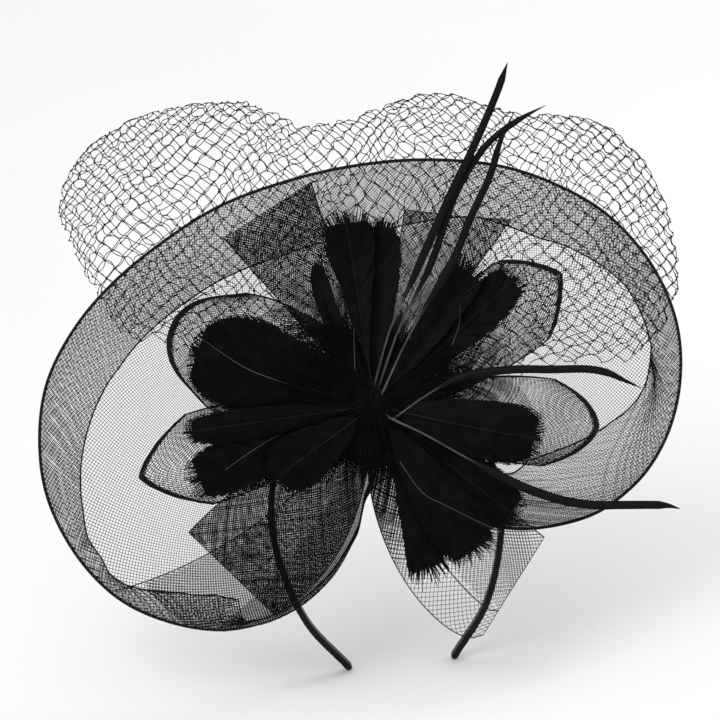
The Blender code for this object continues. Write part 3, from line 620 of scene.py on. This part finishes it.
def hem_radii(bearing):
    """Radii on the brim at HEM_STEPS of the hem's width, measured along its surface from the rim."""
    reach = float(rim_reach(bearing))
    radii = np.linspace(reach, FELT_RADIUS + 2, 80)
    room = max(reach - FELT_RADIUS - 2, 1.5)
    width = min(np.interp(bearing, *around(HEM_WIDTHS), period=360), room)
    return np.interp(width * HEM_STEPS, distances(brim_points(bearing, radii)), radii)


HEM_BEARINGS = np.arange(0, 360, 0.5)
HEM_RADII = np.array([hem_radii(b) for b in HEM_BEARINGS])


def hem_line(bearing, way):
    """A thread's course after it folds round the rim at a bearing: behind the brim, inwards."""
    inward = hem_radii(bearing)
    reach = inward[0]
    bearings = bearing + way * np.degrees(np.log(reach / inward))
    radii = np.array([
        np.interp(b, HEM_BEARINGS, HEM_RADII[:, k], period=360) for k, b in enumerate(bearings)
    ])
    normals = brim_normals(bearings, radii)
    back = brim_points(bearings, radii) - normals * 2 * RIM_FOLD
    middle = brim_points(bearing, reach) - normals[0] * RIM_FOLD
    outward = unit(brim_points(bearing, reach) - brim_points(bearing, reach - 1))
    angles = np.radians(FOLD_ANGLES)[:, None]
    fold = middle + RIM_FOLD * (np.cos(angles) * normals[0] + np.sin(angles) * outward)
    return np.vstack([fold, back[1:]])


def thread_radius(radii, share):
    """Radius of the brim's threads, which lie further apart towards the rim."""
    return radii * math.radians(CRIN_PITCH) * share / 2 / math.sqrt(2)


def spiral_turn(radii, way):
    """Degrees that a thread turns round the hub out to each radius."""
    return way * np.degrees(np.log(radii / CRIN_MIDDLE))


def hem_courses(bearing, radius, way):
    """The hem's threads, one to each layer, where a thread of the front meets the rim."""
    share = np.interp(bearing, *around(HEM_SHARES), period=360)
    return [
        (hem_line(bearing + layer * CRIN_PITCH / 2, way), thread_radius(radius, share))
        for layer in range(HEM_LAYERS)
    ]


def front_steps(radii, first, last):
    """Indices of a thread's points: evenly turned, and closer where the rim curls."""
    span = np.log(radii[last] / radii[first])
    steps = np.linspace(first, last, max(4, int(span / 0.075))).astype(int)
    return np.unique(np.concatenate([steps, np.maximum(first, last - RIM_STEPS)]))


def crin_spirals():
    """Front and hem lines of the brim's threads, each with its radius at every point."""
    radii = np.geomspace(CRIN_START, 200, 300)
    front, hem = [], []
    for way in (-1, 1):
        for start in np.arange(CRIN_COUNT) * CRIN_PITCH + way * CRIN_PITCH / 4:
            bearings = start + spiral_turn(radii, way)
            for first, last in inside_runs(radii <= rim_reach(bearings)):
                steps = front_steps(radii, first, last)
                line = brim_points(bearings[steps], radii[steps])
                line[:, 2] += way * BRAID_GAP
                front.append((line, thread_radius(radii[steps], CRIN_SHARE)))
                hem += hem_courses(bearings[last], radii[last], way)
                if first:
                    hem += hem_courses(bearings[first], radii[first], -way)
    return front, hem


def overlap_edge(radii):
    """Bearings of the selvedge of the braid's end."""
    return OVERLAP[0] - OVERLAP_SLANT * (radii - OVERLAP_MIDDLE)


def overlap_spirals():
    """Threads of the braid's end, which lies over its start beside the notch."""
    radii = np.geomspace(FELT_RADIUS, 160, 200)
    starts = np.arange(CRIN_COUNT) * CRIN_PITCH
    lines = []
    for layer, way, start in product(range(OVERLAP_LAYERS), (-1, 1), starts):
        bearings = start + layer * CRIN_PITCH / 3 + spiral_turn(radii, way)
        bearings = (bearings + 180) % 360 - 180
        lapped = (bearings > overlap_edge(radii) + OVERLAP_STEP * layer) & (bearings < OVERLAP[1])
        for first, last in inside_runs(lapped & (radii <= rim_reach(bearings) - 0.5)):
            steps = np.unique(np.linspace(first, last, max(4, (last - first) // 5)).astype(int))
            line = brim_points(bearings[steps], radii[steps])
            line[:, 2] += way * BRAID_GAP + LAP_GAP * (layer + 1)
            lines.append((line, thread_radius(radii[steps], OVERLAP_SHARE)))
    return lines


def brim_overlap(crin):
    """The lapped end of the braid, with its selvedge."""
    radii = np.linspace(FELT_RADIUS, rim_reach(overlap_edge(160.0)) - 2, 60)
    selvedge = brim_points(overlap_edge(radii), radii) + LAP_GAP * OUT
    lap = overlap_spirals() + [(selvedge, SELVEDGE_LAP)]
    return tube_piece("brim_overlap", *zip(*lap), 3, crin)


def brim(crin, edge):
    """The braid's front, its turned-back hem, its lapped end and the wire in its rim."""
    front, hem = crin_spirals()
    sheet = tube_piece("brim_crin", *zip(*front), 3, crin)
    turned_back = tube_piece("brim_hem", *zip(*hem), 3, crin)
    lapped = brim_overlap(crin)
    bearings = np.linspace(0, 360, RIM_COUNT, endpoint=False)
    inner = np.array([hem_radii(b)[-1] for b in bearings])
    line = brim_points(bearings, inner) - brim_normals(bearings, inner) * 2 * RIM_FOLD
    selvedge = tube_piece("brim_hem_selvedge", [line], [SELVEDGE_HEM], 6, crin, closed=True)
    reach = rim_reach(bearings)
    rim = brim_points(bearings, reach) - brim_normals(bearings, reach) * RIM_FOLD
    roll = np.interp(bearings, *around(RIM_ROLL))
    wire = tube_piece("rim_wire", [rim], [roll], 10, edge, "edge_wire", closed=True)
    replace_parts(sheet, "brim")
    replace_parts(wire, "brim_wire")


# ---- crin ribbons


def ribbon_threads(width, length, spacing, step):
    """(across, along) courses of two sets of threads at 45 degrees over a flat ribbon."""
    pitch = spacing * math.sqrt(2)
    for way in (-1, 1):
        for start in np.arange(-width, length, pitch):
            low, high = max(0.0, start), min(length, start + width)
            if high - low < 1.0:
                continue
            along = np.linspace(low, high, max(3, int((high - low) / step) + 1))
            yield way, way * (along - start - width / 2), along


def loop_surface(side, run, shape):
    """Points of a loop: side from -1 to 1 across it, run from 0 to 1 out and back."""
    bearing, reach, half, shift, corner, point, early, pinch = shape
    tip = reach * (1 - corner * np.abs(side) ** point) - LOOP_TURN
    leg = tip - LOOP_START
    total = 2 * leg + math.pi * LOOP_TURN
    gone = run * total
    angle = np.clip((gone - leg) / LOOP_TURN, 0, math.pi)
    out = np.clip(gone / leg, 0, 1)
    back = np.clip((total - gone) / leg, 0, 1)
    low = LOOP_LOW + (LOOP_MIDDLE - LOOP_TURN - LOOP_LOW) * out**2
    high = LOOP_HIGH + (LOOP_MIDDLE + LOOP_TURN - LOOP_HIGH) * back
    turning = (gone > leg) & (gone < total - leg)
    going = gone <= leg
    along = np.where(turning, tip + LOOP_TURN * np.sin(angle),
                     LOOP_START + leg * np.where(going, out, back))
    level = np.where(turning, LOOP_MIDDLE - LOOP_TURN * np.cos(angle), np.where(going, low, high))
    share = np.minimum(1.0, (along - LOOP_START) / (reach - LOOP_START))
    full = np.maximum(share, 0.0) ** early
    full = full * (1 - pinch * np.clip(share - 0.45, 0, 1) ** 2 * np.abs(side) ** 3)
    full = full * (1 - LOOP_SKEW * np.clip(2 * run - 1, 0, 1))
    across = side * (LOOP_GATHER + (half - LOOP_GATHER) * full) + shift * share
    u, v = polar(bearing, along, across)
    return np.stack([u, v, level], axis=-1)


def loop_lines(shape, width, length):
    """Courses of a loop's threads out and back, and of the pleats at its gathered end."""
    half = width / 2
    lines = [
        loop_surface(across / half, along / length, shape) + way * RIBBON_GAP * OUT
        for way, across, along in ribbon_threads(width, length, LOOP_SPACING, 2.6)
    ]
    for number, share in enumerate(LOOP_PLEATS):
        spaced = LOOP_SPACING * (0.9 - PLEAT_STEP * number)
        for way, across, along in ribbon_threads(width, length / 2 * share, spaced, 3.0):
            shift = way * RIBBON_GAP - LAYER_GAP * (number + 1)
            lines.append(loop_surface(across / half, along / length, shape) + shift * OUT)
    return lines


def turn_lines(shape, width, length):
    """Courses of the closer threads in a loop's turned tip."""
    lines = []
    for _, across, along in ribbon_threads(width, length, TURN_SPACING, 1.3):
        for a, b in inside_runs(np.abs(along - length / 2) < TURN_SHARE * math.pi * LOOP_TURN / 2):
            part = slice(a, b + 1)
            lines.append(loop_surface(across[part] / width * 2, along[part] / length, shape))
    return lines


def crin_loops(crin):
    """Each loop with its selvedges."""
    for name, shape in LOOPS.items():
        bearing, reach, half = shape[:3]
        width, length = 2.0 * half, 2.0 * (reach - LOOP_START)
        lines, turned_tip = loop_lines(shape, width, length), turn_lines(shape, width, length)
        sizes = [LOOP_THREAD] * len(lines) + [TURN_THREAD] * len(turned_tip)
        reference = np.array([*polar(bearing, 0, 1), 0])
        piece = tube_piece(name + "_crin", lines + turned_tip, sizes, 3, crin, reference=reference)
        run = np.linspace(0, 1, 120)
        edges = [loop_surface(np.full(120, side), run, shape) for side in (-1.0, 1.0)]
        sizes = [SELVEDGE_LOOP] * 2
        selvedge = tube_piece(name + "_selvedge", edges, sizes, 6, crin, reference=reference)
        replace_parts(piece, name)


def tail_surface(side, run, shape):
    bearing, reach, right, left, slant, swell_right, swell_left, full = shape[:8]
    half = np.where(side > 0, left, right)
    end = reach + slant * side
    along = TAIL_START + (end - TAIL_START) * run
    across = side * (TAIL_GATHER + (half - TAIL_GATHER) * run)
    swell = np.maximum(0.0, side) * swell_left - np.maximum(0.0, -side) * swell_right
    across = across + swell * np.sin(math.pi * np.clip(run, 0, 1)) ** full
    u, v = polar(bearing, along, across)
    return np.stack([u, v, np.full_like(u, TAIL_LEVEL)], axis=-1)


def tail_lines(name, shape, width, length):
    """Courses of a tail's threads: its layers, its half layer and its pleats."""
    spacing, layers = shape[8], shape[10]
    half_edge = HALF_LAYERS.get(name, 1.0)
    # Each sheet: length and shift along the tail, spacing, level, and where its right edge is.
    sheets = []
    for layer in range(layers):
        shift = LAYER_SHIFT * layer * spacing
        sheets.append((length - shift, shift, spacing * (1 - 0.06 * layer), -LAYER_GAP * layer, -2))
    sheets.append((length, 0, spacing * 0.97, PLEAT_GAP, half_edge))
    for number, share in enumerate(TAIL_PLEATS.get(name, ())):
        spaced = PLEAT_SPACING * (1 - PLEAT_STEP * number)
        sheets.append((length * share, 0, spaced, -PLEAT_GAP * (number + 1), -2))
    lines = []
    for room, shift, spaced, level, right in sheets:
        for way, across, along in ribbon_threads(width, room, spaced, 4.0):
            for a, b in inside_runs(across / width * 2 > right, 3 if right > -1 else 0):
                side, run = across[a:b + 1] / width * 2, (along[a:b + 1] + shift) / length
                lines.append(tail_surface(side, run, shape) + (way * RIBBON_GAP + level) * OUT)
    return lines


def crin_tails(crin):
    """Each tail with its selvedges and cut end."""
    for name, shape in TAILS.items():
        _, reach, right, left, _, swell_right, swell_left, _, _, thread, layers = shape
        width, length = right + left + 0.6 * (swell_right + swell_left), reach - TAIL_START
        lines = tail_lines(name, shape, width, length)
        piece = tube_piece(name + "_crin", lines, [thread] * len(lines), 3, crin)
        half_edge = HALF_LAYERS.get(name, 1.0)
        run, cut = np.linspace(0, 1, 60), np.linspace(-1, 1, 40)
        edges = [tail_surface(np.full(60, side), run, shape) for side in (-1.0, half_edge)]
        edges.append(tail_surface(cut, np.ones(40), shape))
        if half_edge < 1:
            edges.append(tail_surface(np.full(60, 1.0), run, shape))
        sizes = (SELVEDGE_TAIL, SELVEDGE_TAIL, SELVEDGE_CUT, SELVEDGE_TAIL)
        selvedge = tube_piece(name + "_selvedge", edges, sizes, 6, crin)
        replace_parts(piece, name)
        layers += (1 - half_edge) / 2 + sum(TAIL_PLEATS.get(name, ()))


# ---- veil


def veil_surface(bearings, gone):
    """Points of the net: `gone` runs from the flower to the crest and, above 1, back behind it."""
    reach = np.interp(bearings, *around(VEIL_CREST))
    front = gone <= 1
    flat = PUFF_START - VEIL_START
    puff = PUFF_SLACK * (reach - PUFF_START)
    length = np.where(front, gone, 2 - gone) * (flat + puff)
    turn = np.clip((length - flat) / puff, 0, 1)
    over = 0.7 * turn + 0.3 * np.sin(turn * math.pi / 2)
    r = VEIL_START + np.minimum(length, flat) + (reach - PUFF_START) * over
    swell = PUFF_HEIGHT * np.clip((reach - PUFF_START) / PUFF_FULL, 0.15, 1.0)
    bulge = np.sin(math.pi * np.clip((r - PUFF_START) / (reach - PUFF_START), 0, 1)) ** 0.8
    w = VEIL_LEVEL + np.where(front, 0.5, -0.5) * (VEIL_GAP + swell * bulge)
    a = np.radians(bearings)
    u, v = r * np.cos(a), r * np.sin(a)
    loose = np.clip((1 - turn) / 0.6, 0, 1) * np.clip((r - VEIL_START) / 40, 0, 1)
    layer = np.where(front, 0.0, 90.0)
    for axis, seed in ((u, 11), (v, 12)):
        axis += NET_DRIFT * loose * wobble(seed, 17, u, v, layer)
        axis += NET_CRUMPLE * np.clip(loose + 0.25, 0, 1) * wobble(seed + 5, 5, u, v, layer)
    return np.stack([u, v, w], axis=-1)


def net_grid(offset):
    """Columns and rows of the net's knots, and each one's bearing and distance from the hub."""
    steps = np.arange(-50, 51)
    i, j = np.meshgrid(steps, steps)
    knot = (i + j) % 2 == 0
    i, j = i[knot], j[knot]
    x, y = i * NET_CELL / 2 + offset[0], j * NET_CELL / 2 + offset[1]
    length = np.sqrt(np.maximum(x * x + y * y - NET_GATHER**2, 0))
    return i, j, np.degrees(np.arctan2(y, x)), length


def net_layer(offset, back):
    """Bearing and `gone` at both ends of each thread of one layer, and of its knots."""
    i, j, bearings, length = net_grid(offset)
    crest = np.interp(bearings, *around(VEIL_CREST))
    total = PUFF_START - VEIL_START + PUFF_SLACK * (crest - PUFF_START)
    gone = (length - VEIL_START) / total
    kept = (bearings > VEIL_CREST[0][0]) & (bearings < VEIL_CREST[-1][0]) & (gone > -0.05)
    kept &= gone < 1 + NET_CELL / 2 / total
    gone = np.clip(gone, 0, 1)
    places = {(a, b): n for n, (a, b) in enumerate(zip(i, j)) if kept[n]}
    for _ in range(3):
        ends = [
            (n, places[a + way, b + 1]) for (a, b), n in places.items() for way in (-1, 1)
            if (a + way, b + 1) in places
        ]
        threads = np.bincount(np.array(ends).ravel(), minlength=len(gone))
        places = {k: n for k, n in places.items() if threads[n] > 1}
    ends = np.array([e for e in ends if threads[e[0]] > 1 and threads[e[1]] > 1])
    where = np.stack([bearings, 2 - gone if back else gone], axis=1)
    return where[ends], where[list(places.values())]


def net_lines():
    """Threads from knot to knot in both layers, and the knots."""
    rng = np.random.default_rng(21)
    t = np.linspace(0, 1, 5)
    lines, knots = [], []
    for back, offset in enumerate(NET_LAYERS):
        ends, places = net_layer(offset, back)
        course = ends[:, :1] + (ends[:, 1:] - ends[:, :1]) * t[None, :, None]
        threads = veil_surface(course[..., 0].ravel(), course[..., 1].ravel()).reshape(-1, 5, 3)
        run = unit(threads[:, -1] - threads[:, 0])
        side = np.stack([-run[:, 1], run[:, 0], 0 * run[:, 0]], axis=1)
        sag = rng.normal(0, NET_SAG, len(ends))[:, None] * np.sin(math.pi * t)[None, :]
        lines.extend(threads + side[:, None] * sag[..., None])
        knots.append(veil_surface(places[:, 0], places[:, 1]))
    return lines, np.concatenate(knots)


def knot_parts(places, size):
    """Small eight-sided beads at the knots."""
    bead = np.array([(1, 0, 0), (0, 1, 0), (-1, 0, 0), (0, -1, 0), (0, 0, 1), (0, 0, -1)]) * size
    faces = [(k, (k + 1) % 4, 4) for k in range(4)] + [((k + 1) % 4, k, 5) for k in range(4)]
    triangles = np.array(faces)[None] + 6 * np.arange(len(places))[:, None, None]
    return (places[:, None] + bead[None]).reshape(-1, 3), triangles.reshape(-1, 3)


def veil(net):
    """The net and its knots, in one piece."""
    lines, knots = net_lines()
    points, quads = tube_parts(lines, [NET_RADIUS] * len(lines), 3, np.array([0.13, 0.21, 1.0]))
    beads, triangles = knot_parts(knots, KNOT_RADIUS)
    faces = [quads, triangles + len(points)]
    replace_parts(hat_piece("veil_net", np.vstack([points, beads]), faces, net), "veil")


# ---- feathers, spikes, hub


def feather_half(s, shape):
    """Half the width of a feather's vane at a share s of its length."""
    width, blunt, growth = shape[2], shape[5], shape[7]
    x = np.clip((s - 0.1) / 0.9, 0, 1)
    rounded = np.sqrt(np.maximum(1 - x**6, 0.0)) / 0.79
    trimmed = (1 - 0.2 * x**8) / 0.93
    return np.maximum(0.8, width / 2 * x**growth * (rounded * (1 - blunt) + trimmed * blunt))


def feather_points(s, across, shape):
    """Points of a vane: s along the quill, millimetres across it."""
    bearing, length, width, level, bend = shape[:5]
    along = FEATHER_START + (length - FEATHER_START) * s
    rise = FEATHER_LEVEL + FEATHER_STEP * level + (FEATHER_RISE + RISE_STEP * level) * along
    lift = rise - CAMBER * (2 * across / width) ** 2
    u, v = polar(bearing, along, across + bend * s * s)
    return np.stack([u, v, lift], axis=-1)


def feather_outline(shape):
    """(s, millimetres across) of the ends of the barbs on one side, evenly spaced."""
    length = shape[1] - FEATHER_START
    s = np.linspace(0.12, 1, 300)
    half = feather_half(s, shape) * (1 + 0.03 * wobble(int(length), 0.1, s))
    tip = np.linspace(half[-1], 0, 12)[1:]
    outline = np.column_stack([np.append(s, 1 + 0 * tip) * length, np.append(half, tip)])
    ends = resample(outline, int(distances(outline)[-1] / BARB_SPACING))
    return ends[:, 0] / length, ends[:, 1]


def barb_lines(shape, rng):
    """Courses of the barbs on both sides of the quill, with splits and a ragged tip."""
    length, blunt, split = shape[1], shape[5], shape[6]
    ends, halves = feather_outline(shape)
    lines = []
    t = np.linspace(0, 1, 5)
    for side in (-1, 1):
        splits = rng.uniform(0.35, 0.98, split)
        for end, half in zip(ends, halves):
            near_tip = min(1.0, max(0.0, (end - 0.8) / 0.2))
            swept = BARB_SWEEP * half + 1.5 + TIP_SWEEP * near_tip**2 * (3 - 2 * near_tip)
            lead = min(swept / length, end - 0.08)
            parting = SPLIT_DEPTH * sum(
                math.tanh((end - p) / 0.008) * math.exp(-abs(end - p) / 0.05) for p in splits
            )
            ragged = rng.normal(0, 0.003 + (0.006 + 0.02 * blunt) * near_tip)
            s = end - lead + (lead + parting + ragged) * t**1.15
            across = side * half * t**0.9 * (1 + rng.normal(0, 0.01))
            lines.append(feather_points(s, across, shape))
    return lines


def feather_web(shape):
    """The closed middle of the vane, just under its barbs."""
    s = np.linspace(0.08, 0.96, 50)[:, None]
    side = np.linspace(-1, 1, 11)[None, :]
    across = side * (0.96 - 0.12 * s**8) * feather_half(s, shape)
    points = feather_points(s + 0 * side, across, shape) - 0.25 * OUT
    return points.reshape(-1, 3), grid_faces(50, 11)


def quill_line(name, shape):
    """The quill: along the middle of the vane, or along its own route where that is pale."""
    if name not in PALE_QUILLS:
        return feather_points(np.linspace(0, 0.97, 60), np.zeros(60), shape), QUILL_RADIUS
    bearing, length, bend = shape[0], shape[1], shape[4]
    radius, route = PALE_QUILLS[name]
    along, across = polar(-bearing, *resample(catmull_rom(route, 8), 60).T)
    s = (along - FEATHER_START) / (length - FEATHER_START)
    return feather_points(s, across - bend * s * s, shape), radius


def feathers(barbs, dark_quill, pale_quill):
    """Each feather: its vane with a closed middle, and its quill."""
    for number, (name, shape) in enumerate(FEATHERS.items()):
        lines = barb_lines(shape, np.random.default_rng(100 + number))
        points, quads = tube_parts(lines, [BARB_TAPER] * len(lines), 3)
        web, more = feather_web(shape)
        faces = [quads, more + len(points)]
        piece = hat_piece(name + "_vane", np.vstack([points, web]), faces, barbs)
        line, radius = quill_line(name, shape)
        quill = pale_quill if name in PALE_QUILLS else dark_quill
        radii = radius * np.linspace(1, 0.4, 60)
        stem = tube_piece(name + "_quill", [line + 0.3 * OUT], [radii], 8, quill, "feather")
        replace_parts(piece, name)
        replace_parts(stem, name)


def flower_down(barbs):
    """The downy bases of the feathers, close round the hub, and the fluff over its top."""
    rng = np.random.default_rng(5)
    lines = []
    t = np.linspace(0, 1, 5)
    for _ in range(DOWN_COUNT):
        bearing, curl = rng.uniform(0, 360), rng.normal(0, 5)
        reach = DOWN_REACH * rng.uniform(0.62, 1.0) * (0.73 if 235 < bearing < 300 else 1.0)
        level = rng.uniform(8.6, 12.5)
        along = DOWN_START + (reach - DOWN_START) * t
        u, v = polar(bearing, along, curl * t * t)
        lines.append(np.stack([u, v, level + 0.09 * along], axis=-1))
    for _ in range(FLUFF_COUNT):
        bearing, curl = rng.uniform(0, 360), rng.normal(0, 3)
        along = rng.uniform(0, 4) + rng.uniform(5, 12) * t
        u, v = polar(bearing, along, curl * t * t + rng.normal(0, 1.5))
        lines.append(np.stack([u, v, rng.uniform(24, 26) - 0.06 * along**1.6], axis=-1))
    tube_piece("flower_down", lines, [DOWN_TAPER] * len(lines), 3, barbs, "feather")


def blade_loft(line, level, wide, deep):
    """A flat blade with a rib along its middle."""
    run = unit(np.gradient(line, axis=0))
    side = np.stack([-run[:, 1], run[:, 0], 0 * wide], axis=1)
    middle = np.column_stack([line, level])
    rings = np.array([
        middle + side * (a * wide)[:, None] + OUT * (b * deep)[:, None] for a, b in BLADE_SECTION
    ])
    rows, cols = rings.shape[:2]
    first = (np.arange(rows) * cols)[None, :]
    last = first[:, ::-1] + cols - 1
    return rings.reshape(-1, 3), [grid_faces(rows, cols, ring=True), first, last]


def spikes(blade, quill):
    """Each stripped feather: a blade that grows out of a bare, pale quill."""
    for name, (start, bare, half, point, route) in SPIKES.items():
        line = resample(catmull_rom(route, 12), 120)
        gone = np.linspace(0, 1, 120) * distances(line)[-1]
        left = gone[-1] - gone
        grow = np.clip((gone - bare + 15) / 35, 0, 1)
        grow = grow * grow * (3 - 2 * grow)
        taper = np.minimum(1.0, 0.06 + left / point) * (0.85 + 0.15 * np.minimum(1.0, left / 90))
        foot = QUILL_HALF_WIDTH * 0.7
        wide, deep = (foot + (half - foot) * grow) * taper, 0.5 * np.maximum(taper, 0.4)
        level = start + SPIKE_RISE * np.hypot(line[:, 0], line[:, 1])
        cut = int(np.searchsorted(gone, bare - 8))
        points, faces = blade_loft(line[cut:], level[cut:], wide[cut:], deep[cut:])
        piece = hat_piece(name + "_blade", points, faces, blade)
        width = QUILL_HALF_WIDTH * (1 - 0.25 * gone[:cut + 8] / bare)
        points, faces = blade_loft(line[:cut + 8], level[:cut + 8] + 0.1, width, width)
        stem = hat_piece(name + "_quill", points, faces, quill)
        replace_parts(piece, name)
        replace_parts(stem, name)


def hub(thread):
    """The bound bundle: a turned core and the thread wound round it."""
    around_hub = np.linspace(0, 2 * math.pi, 40, endpoint=False)
    core = np.array([(r * math.cos(t), r * math.sin(t), w) for t in around_hub for r, w in HUB_PROFILE])
    quads = grid_faces(40, len(HUB_PROFILE), ring=True)
    turns = np.linspace(0, WINDING_TURNS * 2 * math.pi, WINDING_TURNS * 24)
    level = WINDING_LOW + turns / turns[-1] * WINDING_HEIGHT
    reach = WINDING_RADIUS + 0.12 * wobble(3, 1.3, turns, level)
    winding = np.stack([reach * np.cos(turns), reach * np.sin(turns), level], axis=1)
    points, more = tube_parts([winding], [HUB_WIRE], 5)
    faces = [quads, more + len(core)]
    piece = hat_piece("hub_winding", np.vstack([core, points]), faces, thread)
    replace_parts(piece, "flower_hub")


# ---- headband


def band_path(count):
    """Points along the inside of the band, and the directions out of it."""
    half = resample(catmull_rom(BAND_HALF, 24), count)
    line = np.vstack([half[::-1] * (-1, 1), half])
    points = np.stack([line[:, 0], 0 * line[:, 0], line[:, 1]], axis=1)
    run = unit(np.gradient(points, axis=0))
    return points, np.stack([-run[:, 2], run[:, 1], run[:, 0]], axis=1)


def band_ring(sides):
    """(across, out) round the band's section, a rounded rectangle, and the angles there."""
    t = np.linspace(0, 2 * math.pi, sides, endpoint=False)
    across, out = (np.sign(c) * np.abs(c) ** BAND_SQUARE for c in (np.cos(t), np.sin(t)))
    return across * BAND_WIDTH / 2, out * BAND_THICKNESS / 2, t


def band_piece(name, rings, satin, stands_for, *faces):
    """A piece of the ribbon from rings of points."""
    quads = ring_faces(*rings.shape[:2])
    mesh = make_mesh(name, rings.reshape(-1, 3) * MM, quads, *faces)
    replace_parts(place(name, mesh, satin, "headband"), stands_for)


def headband(satin):
    """The ribbon wrapped round the band, each turn lapping the one before, and its two ends."""
    points, normals = band_path(330)
    across, out, angles = band_ring(36)
    phase = (distances(points)[:, None] / WRAP_PITCH + angles[None, :] / (2 * math.pi)) % 1.0
    lap = 1 - WRAP_STEP / (BAND_THICKNESS / 2) * (0.25 + 0.75 * phase) * 0.5
    centre = points + normals * BAND_THICKNESS / 2
    rings = (centre[:, None] + BAND_ACROSS * (across[None, :] * lap)[..., None]
             + normals[:, None] * (out[None, :] * lap)[..., None])
    band_piece("headband_ribbon", rings, satin, "headband_wrap")
    band_tip("headband_tip_left", centre[0], normals[0], unit(points[0] - points[1]), satin)
    band_tip("headband_tip_right", centre[-1], normals[-1], unit(points[-1] - points[-2]), satin)


def band_tip(name, centre, normal, along, satin):
    """The ribbon's end, folded over the end of the band."""
    across, out, _ = band_ring(36)
    rings = []
    for t in np.linspace(0, math.pi / 2 * 0.97, 12):
        size = math.cos(t) ** 0.6
        middle = centre + along * (TIP_LENGTH * math.sin(t))
        rings.append(middle + BAND_ACROSS * (across * size)[:, None] + normal * (out * size)[:, None])
    end = (11 * 36 + np.arange(36))[None, :]
    band_piece(name + "_ribbon", np.array(rings), satin, name, end)


# ---- carried-over parts


def finish_nodes(material, *names):
    """Give parts that keep their shape a material."""
    for name in names:
        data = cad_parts[name].data
        data.materials.clear()
        data.materials.append(material)


def main():
    """Everything round the CAD."""
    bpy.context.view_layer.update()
    make_camera()
    make_floor()
    make_lights()
    crin, barbs = finish("crin_thread"), finish("feather_barbs")
    brim(crin, finish("edge_wire_cover"))
    crin_tails(crin)
    crin_loops(crin)
    veil(finish("net_thread"))
    feathers(barbs, finish("quill_dark"), finish("quill_pale"))
    flower_down(barbs)
    spikes(finish("stripped_blade"), finish("spike_quill"))
    hub(finish("hub_thread"))
    headband(finish("satin_ribbon"))
    finish_nodes(finish("spring_steel"), "headband_core")
    finish_nodes(finish("wool_felt"), "felt_base", "band_sleeve_left", "band_sleeve_right")
    finish_nodes(finish("clip_steel"), "clip_lower_jaw", "clip_upper_jaw", "clip_pin", "clip_spring")


main()
